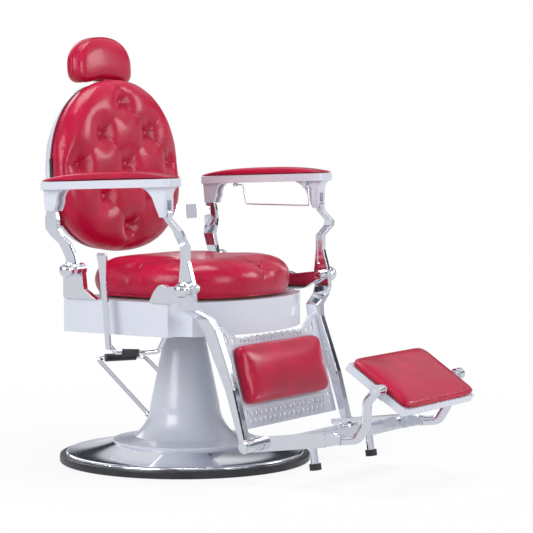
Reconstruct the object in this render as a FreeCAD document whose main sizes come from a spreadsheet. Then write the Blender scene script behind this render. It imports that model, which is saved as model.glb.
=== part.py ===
import FreeCAD, Part
import math
import os
from FreeCAD import Placement, Rotation, Vector

# Hydraulic barber chair. Z is up and the floor is Z = 0, the column stands on the Z axis, the
# sitter faces -Y, and the sitter's right hand is on the -X side. Lengths are millimetres.

doc = FreeCAD.newDocument("barber_chair")
sheet = doc.addObject("Spreadsheet::Sheet", "sizes")

SIZES = {
    # round base
    "base_radius": 332, "rim_height": 20, "rim_width": 16, "rim_foot": 8, "rim_round": 4,
    "ballast_thickness": 8, "cover_thickness": 3, "cover_lip_height": 22, "cover_rise_height": 50,
    "foot_radius": 190, "foot_edge": 7, "flare_radius": 135, "flare_rise": 16, "flare_curve": 110,
    "cone_low_radius": 92, "cone_low_height": 146, "cone_top_radius": 54, "pedestal_wall": 5,
    # hydraulic column
    "ram_radius": 30, "ram_foot_height": 45, "cylinder_wall": 13, "running_fit": 0.06,
    "gland_radius": 50, "gland_height": 10, "lift_gap": 11, "bearing_radius": 70,
    "bearing_thickness": 6,
    "seat_clearance": 0.3, "swivel_plate_radius": 100, "swivel_plate_thickness": 10,
    # pump pedal
    "pedal_heading": 60, "pedal_pivot_reach": 80, "pedal_pivot_height": 115, "pedal_reach": 438,
    "pedal_height": 230, "pedal_half_width": 72, "pedal_rod_radius": 6, "pedal_bend": 24,
    "pedal_shaft_radius": 8, "grip_radius": 11, "grip_half_length": 46,
    # seat frame
    "frame_bottom": 357, "frame_top": 443, "frame_half_width": 295, "frame_rear": 172,
    "frame_front": 280, "frame_front_radius": 447, "frame_wall": 7, "deck_thickness": 10,
    "notch_radius": 40, "notch_outside": 47, "notch_behind": 39,
    "rib_thickness": 8, "rib_reach_across": 250, "rib_reach_rear": 150, "rib_reach_front": 200,
    # seat
    "board_thickness": 6, "seat_half_width": 255, "seat_rear": 178, "seat_front": 268,
    "seat_middle": 54, "seat_thickness": 108, "tuft_radius": 17, "tuft_depth": 7,
    "button_radius": 9, "board_inset": 40,
    # main pivots
    "front_pivot_forward": 236, "front_pivot_height": 483, "rear_pivot_back": 120,
    "rear_pivot_height": 519, "link_lean": 40, "link_rise": 188, "bolt_radius": 8,
    "collar_radius": 13, "ball_radius": 20, "ball_across": 347, "ball_face": 330,
    "bracket_inner": 285, "bracket_thickness": 18, "front_eye": 12, "rear_eye": 16,
    # posts and rails
    "post_across": 317, "post_half_thickness": 8, "upper_across": 355, "upper_half_thickness": 7,
    "rail_across": 245, "rail_half_width": 13, "rail_foot_forward": 360, "rail_foot_height": 94,
    "rail_eye": 17, "open_pivot_clearance": 0.5, "foot_pin_radius": 7,
    # armrests
    "arm_across": 355, "arm_width": 78, "arm_front": 226, "arm_rear": 178, "arm_front_rise": 85.5,
    "arm_rear_rise": 35.5, "arm_thickness": 20, "arm_corner": 24, "arm_pad_rise": 21, "arm_pad_inset": 2,
    "fork_width": 36, "fork_gap": 17, "front_slot": 32, "rear_slot": 15, "pin_radius": 5.5,
    "towel_wire_radius": 2, "towel_across": 328, "towel_drop": 53,
    "towel_front": 180, "towel_rear": 34, "towel_lean": 12, "towel_hook": 24, "towel_gap": 6, "lug_size": 9,
    # back
    "back_half_width": 262, "back_top": 275, "back_bottom": 193, "back_centre_height": 738,
    "back_rim_y": 217, "back_lean": 3.5, "back_crown": 50, "back_depth": 26, "back_fullness": 2.25,
    "back_tuft_depth": 14,
    "back_board_inset": 18, "back_board_thickness": 8, "shell_inset": 12, "shell_depth": 46,
    "shell_wall": 4,
    "yoke_height": 40, "yoke_thickness": 12, "yoke_level": -93, "button_spacing": 200,
    "button_row": 83, "bumper_length": 55,
    # headrest
    "headrest_height": 1002, "headrest_half_width": 118, "headrest_rise": 122,
    "headrest_thickness": 66, "headrest_front": 248, "headrest_hollow": 12,
    "stem_width": 38, "stem_thickness": 6, "stem_depth": 49, "stem_length": 190,
    "socket_wall": 4, "socket_length": 60,
    # leg panel and calf pad
    "panel_top_forward": 262, "panel_horn": 30, "panel_lean": 14.7, "panel_length": 266,
    "panel_thickness": 5, "panel_clearance": 5, "pierced_radius": 7, "calf_half_width": 192,
    "calf_top": 57, "calf_length": 153, "calf_thickness": 40, "calf_corner": 24,
    "calf_shoulder": 17, "rest_corner": 16, "rest_shoulder": 6,
    # foot frame
    "foot_lean": 8, "bar_across": 204, "bar_thickness": 12, "bar_height": 37, "bar_rear": 24,
    "bar_reach": 224, "cross_rear": 104, "cross_front": 196, "cross_height": 34, "cross_wall": 7,
    "medallion_length": 60, "medallion_rise": 4, "stub_across": 137, "stub_reach": 116,
    "stub_radius": 10, "stub_length": 46, "tip_radius": 15, "tip_height": 16, "knuckle_radius": 16,
    "foot_arm_radius": 12, "foot_arm_bend": 26, "foot_pivot_forward": 708, "foot_pivot_height": 253,
    # foot rest
    "rest_slope": 33.3, "rest_rear": 112, "rest_front": 78, "rest_half_width": 176,
    "rest_pad_top": 16, "rest_pad_under": 4, "tray_depth": 20, "tray_wall": 5, "ear_thickness": 6,
    "trunnion_radius": 7,
    # recline lever
    "lever_across": 330, "lever_top": 565, "lever_foot": 322, "lever_pivot_forward": 135,
    "lever_pivot_height": 372, "lever_rod_radius": 5.5, "lever_bend": 12, "sleeve_radius": 9,
    "bearing_across": 228, "bearing_block": 10, "lock_radius": 16, "lock_length": 230,
}


class Length:
    """A size with the sheet formula that it follows."""

    def __init__(self, number, formula=None):
        self.number = float(number)
        self.formula = formula if formula is not None else "({!r})".format(float(number))

    def __float__(self):
        return self.number

    def __add__(self, other):
        other = as_length(other)
        return Length(self.number + other.number, "(%s + %s)" % (self.formula, other.formula))

    def __sub__(self, other):
        other = as_length(other)
        return Length(self.number - other.number, "(%s - %s)" % (self.formula, other.formula))

    def __mul__(self, factor):
        factor = as_length(factor)
        return Length(self.number * factor.number, "(%s * %s)" % (self.formula, factor.formula))

    def __truediv__(self, other):
        other = as_length(other)
        return Length(self.number / other.number, "(%s / %s)" % (self.formula, other.formula))

    def __neg__(self):
        return Length(-self.number, "(0 - %s)" % self.formula)

    __radd__ = __add__
    __rmul__ = __mul__

    def __rsub__(self, other):
        return as_length(other) - self


def as_length(value):
    return value if isinstance(value, Length) else Length(value)


class SheetSizes:
    """Reads a named cell of the sheet as a Length."""

    def __getattr__(self, name):
        return Length(sheet.get(name), "sizes." + name)


for row, (alias, number) in enumerate(SIZES.items(), start=1):
    sheet.set("A%d" % row, alias)
    sheet.set("B%d" % row, str(number))
    sheet.setAlias("B%d" % row, alias)
doc.recompute()
size = SheetSizes()
parts = []


def keep(item, label):
    """Names a finished piece; its label is its file name."""
    item.Label = label
    parts.append(item)
    return item


def bind(item, name, length):
    item.setExpression(name, as_length(length).formula)


def place(item, x, y, z, rotation=None):
    item.Placement = Placement(Vector(float(x), float(y), float(z)), rotation or Rotation())
    bind(item, ".Placement.Base.x", x)
    bind(item, ".Placement.Base.y", y)
    bind(item, ".Placement.Base.z", z)
    return item


ALONG = {"X": Rotation(Vector(0, 1, 0), 90), "Y": Rotation(Vector(1, 0, 0), -90), "Z": Rotation()}


def cylinder(name, radius, length, x, y, z, along="Z"):
    item = doc.addObject("Part::Cylinder", name)
    bind(item, "Radius", radius)
    bind(item, "Height", length)
    return place(item, x, y, z, ALONG[along])


def box(name, x0, x1, y0, y1, z0, z1):
    item = doc.addObject("Part::Box", name)
    bind(item, "Length", as_length(x1) - x0)
    bind(item, "Width", as_length(y1) - y0)
    bind(item, "Height", as_length(z1) - z0)
    return place(item, x0, y0, z0)


def ball(name, radius, x, y, z):
    item = doc.addObject("Part::Sphere", name)
    bind(item, "Radius", radius)
    return place(item, x, y, z)


def fuse(name, members):
    item = doc.addObject("Part::MultiFuse", name)
    item.Shapes = members
    return item


def common(name, members):
    item = doc.addObject("Part::MultiCommon", name)
    item.Shapes = members
    return item


def cut(name, base, *tools):
    item = doc.addObject("Part::Cut", name)
    item.Base = base
    item.Tool = tools[0] if len(tools) == 1 else fuse(name + "_tools", list(tools))
    return item


def tilt(item, pivot_y, pivot_z, degrees):
    """Leans a piece about an X line through (pivot_y, pivot_z); its Placement carries the lean."""
    pivot = Vector(0, float(pivot_y), float(pivot_z))
    lean = Placement(Vector(), Rotation(Vector(1, 0, 0), float(degrees)), pivot)
    item.Placement = lean.multiply(item.Placement)
    return item


def shaped(name, shape, placement=None):
    """A piece whose surface is a loft or a sweep, made from the sheet's sizes."""
    item = doc.addObject("Part::Feature", name)
    item.Shape = shape
    if placement is not None:
        item.Placement = placement
    return item


def draw(body, plane, corners):
    """A closed sketch; a corner is (x, y) or (x, y, radius, turn) where an arc leads to it."""
    sketch = body.newObject("Sketcher::SketchObject", body.Name + "_sketch")
    origin = [f for f in body.Origin.OriginFeatures if f.Role == plane][0]
    sketch.AttachmentSupport = [(origin, "")]
    sketch.MapMode = "FlatFace"
    ends = []
    for index, corner in enumerate(corners):
        start = Vector(float(corners[index - 1][0]), float(corners[index - 1][1]), 0)
        end = Vector(float(corner[0]), float(corner[1]), 0)
        if len(corner) == 2:
            geometry = sketch.addGeometry(Part.LineSegment(start, end), False)
            ends.append((geometry, 1, 2))
            continue
        radius, turn = float(corner[2]), corner[3]
        middle = (start + end) * 0.5
        chord = end - start
        across = Vector(-chord.y, chord.x, 0).normalize()
        rise = math.sqrt(max(radius ** 2 - (chord.Length / 2) ** 2, 0))
        centre = middle + across * rise * turn
        angles = [math.atan2(p.y - centre.y, p.x - centre.x) for p in (start, end)]
        if turn < 0:
            angles.reverse()
        circle = Part.Circle(centre, Vector(0, 0, 1), radius)
        geometry = sketch.addGeometry(Part.ArcOfCircle(circle, angles[0], angles[1]), False)
        ends.append((geometry, 1, 2) if turn > 0 else (geometry, 2, 1))
    import Sketcher
    for index, corner in enumerate(corners):
        geometry, begin, finish = ends[index]
        following = ends[(index + 1) % len(ends)]
        sketch.addConstraint(Sketcher.Constraint("Coincident", geometry, finish,
                                                 following[0], following[1]))
        for kind, value in (("DistanceX", corner[0]), ("DistanceY", corner[1])):
            number = sketch.addConstraint(Sketcher.Constraint(kind, -1, 1, geometry, finish,
                                                              float(value)))
            bind(sketch, "Constraints[%d]" % number, value)
        if len(corner) == 4:
            number = sketch.addConstraint(Sketcher.Constraint("Radius", geometry,
                                                              float(corner[2])))
            bind(sketch, "Constraints[%d]" % number, corner[2])
    return sketch


def turned(name, corners):
    """A body turned about the Z axis from its half section."""
    body = doc.addObject("PartDesign::Body", name)
    sketch = draw(body, "XZ_Plane", corners)
    feature = body.newObject("PartDesign::Revolution", name + "_turn")
    feature.Profile = sketch
    feature.ReferenceAxis = (sketch, ["V_Axis"])
    feature.Angle = 360
    body.Tip = feature
    return body


def plate(name, corners, x0, x1):
    """A flat piece cut from a side outline (Y, Z), from x0 to x1."""
    body = doc.addObject("PartDesign::Body", name)
    sketch = draw(body, "YZ_Plane", corners)
    feature = body.newObject("PartDesign::Pad", name + "_pad")
    feature.Profile = sketch
    bind(feature, "Length", as_length(x1) - x0)
    body.Tip = feature
    return place(body, x0, 0, 0)


def loft_of_slabs(slabs):
    """A faceted casting through level sections (x, y, z, half width, half depth)."""
    wires = []
    for x, y, z, half_width, half_depth in slabs:
        corner = 0.3 * min(half_width, half_depth)
        outline = []
        for across, along in ((1, 1), (-1, 1), (-1, -1), (1, -1)):
            a = Vector(x + across * half_width, y + along * (half_depth - corner), z)
            b = Vector(x + across * (half_width - corner), y + along * half_depth, z)
            outline += [a, b] if across == along else [b, a]
        wires.append(Part.makePolygon(outline + [outline[0]]))
    return Part.makeLoft(wires, True, True)


def rod(points, radius, bend):
    """A round rod along straight runs joined by tangent bends."""
    points = [Vector(*p) for p in points]
    edges = []
    last = points[0]
    for before, at, after in zip(points, points[1:], points[2:]):
        back = (before - at).normalize()
        ahead = (after - at).normalize()
        turn = math.pi - back.getAngle(ahead)
        reach = min(bend * math.tan(turn / 2), 0.45 * (before - at).Length,
                    0.45 * (after - at).Length)
        start = at + back * reach
        end = at + ahead * reach
        towards = (back + ahead).normalize()
        radius_here = reach / math.tan(turn / 2)
        centre = at + towards * (radius_here / math.cos(turn / 2))
        middle = centre - towards * radius_here
        edges.append(Part.LineSegment(last, start).toShape())
        edges.append(Part.Arc(start, middle, end).toShape())
        last = end
    edges.append(Part.LineSegment(last, points[-1]).toShape())
    circle = Part.Circle(points[0], points[1] - points[0], radius).toShape()
    return Part.Wire(edges).makePipeShell([Part.Wire(circle)], True, False)


def oval(half_width, above, below, fullness, count=24):
    """Points of an egg-shaped outline in (x, z), wider below its middle."""
    points = []
    for step in range(count):
        angle = 2 * math.pi * step / count
        cosine, sine = math.cos(angle), math.sin(angle)
        reach = above if sine > 0 else below
        x = half_width * math.copysign(abs(cosine) ** (2 / fullness), cosine)
        z = reach * math.copysign(abs(sine) ** (2 / fullness), sine)
        points.append((x, z))
    return points


def padded_loft(layers):
    """A smooth closed cushion through closed rings of points."""
    wires = []
    for ring in layers:
        curve = Part.BSplineCurve()
        curve.interpolate([Vector(*p) for p in ring], PeriodicFlag=True)
        wires.append(Part.Wire(curve.toShape()))
    return Part.makeLoft(wires, True, False, False, 3)


# The rubber rim runs round the base and carries the steel ballast plate on an inner ledge.
rim_inner = size.base_radius - size.rim_width
ledge_inner = rim_inner - size.rim_foot
ledge_height = size.rim_height / 5
keep(turned("rim", [
    (ledge_inner, 0), (size.base_radius - size.rim_round, 0),
    (size.base_radius, size.rim_round, size.rim_round, 1),
    (size.base_radius, size.rim_height - size.rim_round),
    (size.base_radius - size.rim_round, size.rim_height, size.rim_round, 1),
    (rim_inner, size.rim_height), (rim_inner, ledge_height), (ledge_inner, ledge_height),
]), "base_rim")
ballast_top = ledge_height + size.ballast_thickness
keep(cylinder("ballast", rim_inner, size.ballast_thickness, 0, 0, ledge_height), "base_plate")

# The chrome cover is a shallow pressed dish: its lip stands inside the rim, it rises to the foot.
cover_hole = size.gland_radius + 30
lip_top = size.cover_lip_height
keep(turned("cover", [
    (rim_inner - size.cover_thickness, ballast_top), (rim_inner, ballast_top),
    (rim_inner, lip_top), (rim_inner - 6, lip_top + 5, 6, 1),
    (size.foot_radius, size.cover_rise_height, 420, -1),
    (cover_hole, size.cover_rise_height), (cover_hole, size.cover_rise_height - size.cover_thickness),
    (size.foot_radius, size.cover_rise_height - size.cover_thickness),
    (rim_inner - size.cover_thickness - 4, lip_top + 2, 423, 1),
]), "base_cover")

# The pedestal is one enamelled shell: a thin foot, a hollow flare and a slim cone.
flare_height = size.cover_rise_height + size.flare_rise
wall = size.pedestal_wall
bearing_bottom = size.frame_bottom - size.bearing_thickness
cone_top = bearing_bottom - size.lift_gap - size.gland_height
pedestal_shell = turned("pedestal_shell", [
    (size.foot_radius, size.cover_rise_height),
    (size.foot_radius, size.cover_rise_height + size.foot_edge),
    (size.flare_radius, flare_height),
    (size.cone_low_radius, size.cone_low_height, size.flare_curve, -1),
    (size.cone_top_radius, cone_top),
    (size.cone_top_radius - wall, cone_top),
    (size.cone_low_radius - wall, size.cone_low_height),
    (size.flare_radius - wall, flare_height - wall, size.flare_curve + wall, 1),
    (size.foot_radius - wall * 3, size.cover_rise_height),
])
heading = math.radians(float(size.pedal_heading))
out_x, out_y = math.cos(heading), math.sin(heading)
side_x, side_y = -math.sin(heading), math.cos(heading)


def by_pedal(reach, aside, height):
    """A point seen from the column: reach along the pedal, aside of it, and up."""
    return (out_x * reach + side_x * aside, out_y * reach + side_y * aside, height)


pivot_reach = float(size.pedal_pivot_reach)
pivot_height = float(size.pedal_pivot_height)
shaft_side = float(size.pedal_half_width)
shaft_radius = float(size.pedal_shaft_radius)
shaft_start = Vector(*by_pedal(pivot_reach, -shaft_side, pivot_height))
shaft_axis = Vector(side_x, side_y, 0)
shaft_hole = shaped("shaft_hole", Part.makeCylinder(
    shaft_radius + float(size.running_fit), 2 * shaft_side, shaft_start, shaft_axis))
keep(cut("pedestal_bored", pedestal_shell, shaft_hole), "pedestal")

# Inside the pedestal stands the hydraulic cylinder; a chrome gland ring guides the ram.
bore = size.ram_radius + size.running_fit
cylinder_radius = size.ram_radius + size.cylinder_wall
tube_outer = cylinder("tube_outer", cylinder_radius, cone_top - ballast_top, 0, 0, ballast_top)
tube_bore = cylinder("tube_bore", bore, cone_top, 0, 0, ballast_top + 15)
keep(cut("tube", tube_outer, tube_bore), "pump_cylinder")
gland_outer = cylinder("gland_outer", size.gland_radius, size.gland_height, 0, 0, cone_top)
gland_bore = cylinder("gland_bore", bore, size.gland_height, 0, 0, cone_top)
keep(cut("gland", gland_outer, gland_bore), "cylinder_gland")

# The ram lifts the seat; its top flange is the lower race of the swivel.
keep(cylinder("ram_rod", size.ram_radius, bearing_bottom - size.ram_foot_height, 0, 0,
              size.ram_foot_height), "ram")
keep(cylinder("race", size.bearing_radius, size.bearing_thickness, 0, 0, bearing_bottom),
     "swivel_bearing")

# The pump pedal is one bent rod on a cross shaft, with a rubber grip on its far bar.
pedal_reach = float(size.pedal_reach)
pedal_height = float(size.pedal_height)
pedal_path = [by_pedal(pivot_reach, -shaft_side, pivot_height),
              by_pedal(pedal_reach, -shaft_side, pedal_height),
              by_pedal(pedal_reach, shaft_side, pedal_height),
              by_pedal(pivot_reach, shaft_side, pivot_height)]
pedal_bow = rod(pedal_path, float(size.pedal_rod_radius), float(size.pedal_bend))
shaft = Part.makeCylinder(shaft_radius, 2 * shaft_side, shaft_start, shaft_axis)
shaft_ends = [Part.makeSphere(shaft_radius, Vector(*by_pedal(pivot_reach, s * shaft_side, pivot_height)))
              for s in (-1, 1)]
keep(shaped("pedal", pedal_bow.fuse([shaft] + shaft_ends).removeSplitter()), "pedal_frame")
grip_half = float(size.grip_half_length)
grip_start = Vector(*by_pedal(pedal_reach, -grip_half, pedal_height))
grip_solid = Part.makeCylinder(float(size.grip_radius), 2 * grip_half, grip_start, shaft_axis)
grip_hole = Part.makeCylinder(float(size.pedal_rod_radius), 2 * grip_half, grip_start, shaft_axis)
keep(shaped("grip", grip_solid.cut(grip_hole)), "pedal_grip")


def frame_block(name, inset, z0, z1):
    """The seat frame's plan as a solid: square rear, bowed front, hollow front corners."""
    half = size.frame_half_width - inset
    block = box(name + "_block", -half, half, -(size.frame_front), size.frame_rear - inset, z0, z1)
    bow = cylinder(name + "_bow", size.frame_front_radius - inset, as_length(z1) - z0,
                   0, size.frame_front_radius - size.frame_front, z0)
    whole = common(name + "_whole", [block, bow])
    notches = [cylinder("%s_notch_%s" % (name, hand), size.notch_radius + inset, as_length(z1) - z0,
                        sign * (size.rail_across + size.notch_outside),
                        size.notch_behind - size.front_pivot_forward, z0)
               for hand, sign in SIDES]
    return cut(name + "_notched", whole, *notches)


SIDES = (("right", -1), ("left", 1))

# The seat frame is a deep enamelled casting, open below, with a deck across its top.
frame_outer = frame_block("frame_outer", as_length(0), size.frame_bottom, size.frame_top)
frame_inner = frame_block("frame_inner", size.frame_wall, size.frame_bottom - 1,
                          size.frame_top - size.deck_thickness)
keep(cut("frame_casting", frame_outer, frame_inner), "seat_frame")

# Ribs tie the deck to the plate that turns on the ram.
swivel_bottom = size.frame_bottom + size.seat_clearance
swivel_top = swivel_bottom + size.swivel_plate_thickness
deck_under = size.frame_top - size.deck_thickness
keep(cylinder("turntable", size.swivel_plate_radius, size.swivel_plate_thickness, 0, 0, swivel_bottom),
     "swivel_plate")
half_rib = size.rib_thickness / 2
rib_place = size.swivel_plate_radius * 0.45
ribs = [box("rib_across_front", -size.rib_reach_across, size.rib_reach_across,
            -rib_place - half_rib, -rib_place + half_rib, swivel_top, deck_under),
        box("rib_across_rear", -size.rib_reach_across, size.rib_reach_across,
            rib_place - half_rib, rib_place + half_rib, swivel_top, deck_under),
        box("rib_along_right", -rib_place - half_rib, -rib_place + half_rib,
            -size.rib_reach_front, size.rib_reach_rear, swivel_top, deck_under),
        box("rib_along_left", rib_place - half_rib, rib_place + half_rib,
            -size.rib_reach_front, size.rib_reach_rear, swivel_top, deck_under)]
keep(fuse("spider", ribs), "seat_spider")


def seat_ring(height, share, inset=0.0):
    """A level ring of the seat's plan, shrunk about its middle."""
    middle = -float(size.seat_middle)
    half = (float(size.seat_half_width) - inset) * share
    rear = (float(size.seat_rear) - middle - inset) * share
    front = (float(size.seat_front) + middle - inset) * share
    ring = []
    count = 28
    for step in range(count):
        angle = 2 * math.pi * step / count
        cosine, sine = math.cos(angle), math.sin(angle)
        fullness = 3.2 if sine > 0 else 2.3
        reach = rear if sine > 0 else front
        x = half * math.copysign(abs(cosine) ** (2 / fullness), cosine)
        y = middle + reach * math.copysign(abs(sine) ** (2 / fullness), sine)
        ring.append((x, y, height))
    return ring


# The seat cushion is a deep round pad, tufted on its shoulders; its plywood board is let into
# its underside, so that the leather meets the deck.
board_top = float(size.frame_top + size.board_thickness)
inset = float(size.board_inset)
board = padded_loft([seat_ring(float(size.frame_top), 1, inset), seat_ring(board_top, 1, inset)])
keep(shaped("board", board), "seat_board")
SEAT_LAYERS = ((0.0, 0.93), (0.12, 0.975), (0.35, 1.0), (0.58, 0.99), (0.76, 0.96), (0.87, 0.915),
               (0.94, 0.855), (0.98, 0.78), (1.0, 0.68))
cushion_bottom = float(size.frame_top + size.seat_clearance)
cushion_height = float(size.seat_thickness)
cushion = padded_loft([seat_ring(cushion_bottom + rise * cushion_height, share)
                       for rise, share in SEAT_LAYERS])
tuft_level = cushion_bottom + 0.72 * cushion_height
tuft_radius = float(size.tuft_radius)
tuft_depth = float(size.tuft_depth)
button_radius = float(size.button_radius)
gap = float(size.seat_clearance)
seat_side = float(size.seat_half_width) * 0.97
seat_tufts = [(Vector(-seat_side + tuft_depth, -20, tuft_level), Vector(-1, 0, 0)),
              (Vector(seat_side - tuft_depth, -20, tuft_level), Vector(1, 0, 0)),
              (Vector(0, -float(size.seat_front) + 5 + tuft_depth, tuft_level), Vector(0, -1, 0))]


def recess(floor, outward):
    """The well of a sewn tuft, open to the outside from its floor."""
    return Part.makeCylinder(tuft_radius, 60, floor, outward)


def button(floor, outward):
    """A covered button seated on the floor of its tuft, rounded on its outer rim."""
    height = 0.6 * button_radius
    disc = Part.makeCylinder(button_radius, height)
    rim = [edge for edge in disc.Edges if edge.Closed and edge.CenterOfMass.z > height / 2]
    disc = disc.makeFillet(0.4 * button_radius, rim)
    disc.Placement = Placement(floor + outward * gap, Rotation(Vector(0, 0, 1), outward))
    return disc


cushion = cushion.cut(padded_loft([seat_ring(float(size.frame_top) - 1, 1, inset - gap),
                                   seat_ring(board_top + gap, 1, inset - gap)]))
for floor, outward in seat_tufts:
    cushion = cushion.cut(recess(floor, outward))
keep(shaped("cushion", cushion), "seat_cushion")
seat_button_list = [button(floor, outward) for floor, outward in seat_tufts]

# Cast brackets bolt to the deck; each holds a pivot bolt that ends in a chrome ball nut.
front_y = -float(size.front_pivot_forward)
front_z = float(size.front_pivot_height)
rear_y = float(size.rear_pivot_back)
rear_z = float(size.rear_pivot_height)
bolt_bore = size.bolt_radius + size.running_fit
rear_outline = [(62, size.frame_top), (161, size.frame_top), (168, size.frame_top + 7, 7, 1),
                (168, size.rear_pivot_height - 19),
                (size.rear_pivot_back + 12, size.rear_pivot_height),
                (size.rear_pivot_back - 12, size.rear_pivot_height), (102, size.frame_top + 25)]
bracket_step = (size.frame_top + size.front_pivot_height) / 2
front_outline = [(-104, size.frame_top), (-119, size.frame_top + 28), (-132, size.frame_top + 43),
                 (-143, size.frame_top + 47), (-160, size.frame_top + 41), (-180, bracket_step + 24),
                 (-size.front_pivot_forward, size.front_pivot_height + 11),
                 (-size.front_pivot_forward, size.front_pivot_height - 11),
                 (-196, size.front_pivot_height - 36), (-178, size.frame_top)]
bracket_outer = size.bracket_inner + size.bracket_thickness
for hand, sign in SIDES:
    x0 = size.bracket_inner if sign > 0 else -bracket_outer
    for name, outline, radius, y, z in (
            ("rear", rear_outline, size.rear_eye, size.rear_pivot_back, size.rear_pivot_height),
            ("front", front_outline, size.front_eye, -size.front_pivot_forward,
             size.front_pivot_height)):
        key = "%s_bracket_%s" % (name, hand)
        web = plate(key + "_web", outline, x0, x0 + size.bracket_thickness)
        eye = cylinder(key + "_eye", radius, size.bracket_thickness, x0, y, z, "X")
        hole = cylinder(key + "_hole", bolt_bore, size.bracket_thickness + 2, x0 - 1, y, z, "X")
        keep(cut(key + "_bored", fuse(key + "_cast", [web, eye]), hole), key)


def along_x(radius, x0, x1, y, z):
    """A round bar along X between two planes, given in either order."""
    low, high = min(x0, x1), max(x0, x1)
    return Part.makeCylinder(radius, high - low, Vector(low, y, z), Vector(1, 0, 0))


post_across = float(size.post_across)
post_half = float(size.post_half_thickness)
ball_across = float(size.ball_across)
ball_face = float(size.ball_face)
bolt_radius = float(size.bolt_radius)
fit = float(size.running_fit)
bolts = []
balls = []
for hand, sign in SIDES:
    for y, z in ((front_y, front_z), (rear_y, rear_z)):
        shank = along_x(bolt_radius, sign * float(size.bracket_inner), sign * ball_across, y, z)
        inner = along_x(float(size.collar_radius), sign * float(bracket_outer),
                        sign * (post_across - post_half - gap), y, z)
        outer = along_x(float(size.collar_radius), sign * (post_across + post_half + gap),
                        sign * ball_face, y, z)
        bolts.append(shank.fuse([inner, outer]).removeSplitter())
        seat_x = ball_face + gap / 2
        flat = math.degrees(math.asin((ball_across - seat_x) / float(size.ball_radius)))
        knob = Part.makeSphere(float(size.ball_radius), Vector(sign * ball_across, y, z),
                               Vector(sign, 0, 0), -flat, 90)
        balls.append(knob.cut(along_x(bolt_radius + gap / 2, sign * seat_x,
                                      sign * (ball_across + gap), y, z)))
keep(shaped("bolts", Part.makeCompound(bolts)), "pivot_bolts")
keep(shaped("ball_knobs", Part.makeCompound(balls)), "ball_nuts")

# A sealed lock cylinder under the deck holds the recline; two lugs hang it from the deck.
lock_x = 120.0
lock_z = float(deck_under) - 34
lock_half = float(size.lock_length) / 2
lock_tube = Part.makeCylinder(float(size.lock_radius), 2 * lock_half,
                              Vector(lock_x, -lock_half - 20, lock_z), Vector(0, 1, 0))
lugs = [Part.makeBox(24, 12, float(deck_under) - lock_z, Vector(lock_x - 12, y, lock_z))
        for y in (-lock_half - 8, lock_half - 44)]
keep(shaped("lock", lock_tube.fuse(lugs).removeSplitter()), "recline_lock")
ribs_piece = parts[[p.Label for p in parts].index("seat_spider")]
lock_clear = shaped("lock_clear", Part.makeCylinder(
    float(size.lock_radius) + 1, 2 * lock_half + 8, Vector(lock_x, -lock_half - 24, lock_z),
    Vector(0, 1, 0)))
parts.remove(ribs_piece)
ribs_piece.Label = "spider_ribs"
keep(cut("spider_cleared", ribs_piece, lock_clear), "seat_spider")

# The recline lever: a flat tapered handle on a bent rod that turns in a hanging bearing.
lever_x = -float(size.lever_across)
lever_foot = float(size.lever_foot)
lever_top = float(size.lever_top)
lever_slabs = [(lever_x, 2, lever_foot, 4.5, 7.0), (lever_x, 8, lever_foot + 90, 4.5, 8.0),
               (lever_x, 17, lever_foot + 175, 4, 9.5), (lever_x, 19, lever_foot + 215, 4, 12.5),
               (lever_x, 21, lever_top - 6, 4.5, 15.5), (lever_x, 21, lever_top, 3, 13.0)]
keep(shaped("lever_blade", loft_of_slabs(lever_slabs)), "recline_lever")
lever_y = -float(size.lever_pivot_forward)
lever_z = float(size.lever_pivot_height)
rod_radius = float(size.lever_rod_radius)
rod_points = [(lever_x + 4.5, 0, lever_foot + 8), (lever_x + 16, -6, lever_foot - 8),
              (-276, -74, 313), (-262, -104, 317), (-262, lever_y, lever_z),
              (-float(size.bearing_across) + 14, lever_y, lever_z)]
lever_bend = float(size.lever_bend)
lever_bar = rod(rod_points, rod_radius, lever_bend)
blade = parts[-1]
keep(shaped("lever_bar", lever_bar.cut(blade.Shape)), "lever_rod")
sleeve_axis = Vector(*rod_points[2]) - Vector(*rod_points[1])
sleeve_from = Vector(*rod_points[1]) + sleeve_axis * 0.24
sleeve_length = sleeve_axis.Length * 0.55
sleeve = Part.makeCylinder(float(size.sleeve_radius), sleeve_length, sleeve_from, sleeve_axis)
sleeve_bore = Part.makeCylinder(rod_radius, sleeve_length, sleeve_from, sleeve_axis)
keep(shaped("sleeve", sleeve.cut(sleeve_bore)), "lever_sleeve")
block = float(size.bearing_block)
hanger_x = -float(size.bearing_across) - block / 2
hanger = Part.makeBox(block, 30, float(deck_under) - lever_z + 14,
                      Vector(hanger_x, lever_y - 15, lever_z - 14))
hanger_bore = along_x(rod_radius + fit, hanger_x - 1, hanger_x + block + 1, lever_y, lever_z)
keep(shaped("hanger", hanger.cut(hanger_bore)), "lever_bearing")

# Each leg casting is one piece: a post that steps outwards to the armrest, a foot that steps
# inwards below the frame, and a rail that runs down to the foot frame.
upper_across = float(size.upper_across)
upper_half = float(size.upper_half_thickness)
rail_across = float(size.rail_across)
rail_half = float(size.rail_half_width)
lean = float(size.link_lean)
rise = float(size.link_rise)
front_top_y = front_y + lean
front_top_z = front_z + rise
rear_top_y = rear_y + lean
rear_top_z = rear_z + rise
rail_foot_y = -float(size.rail_foot_forward)
rail_foot_z = float(size.rail_foot_height)


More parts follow.
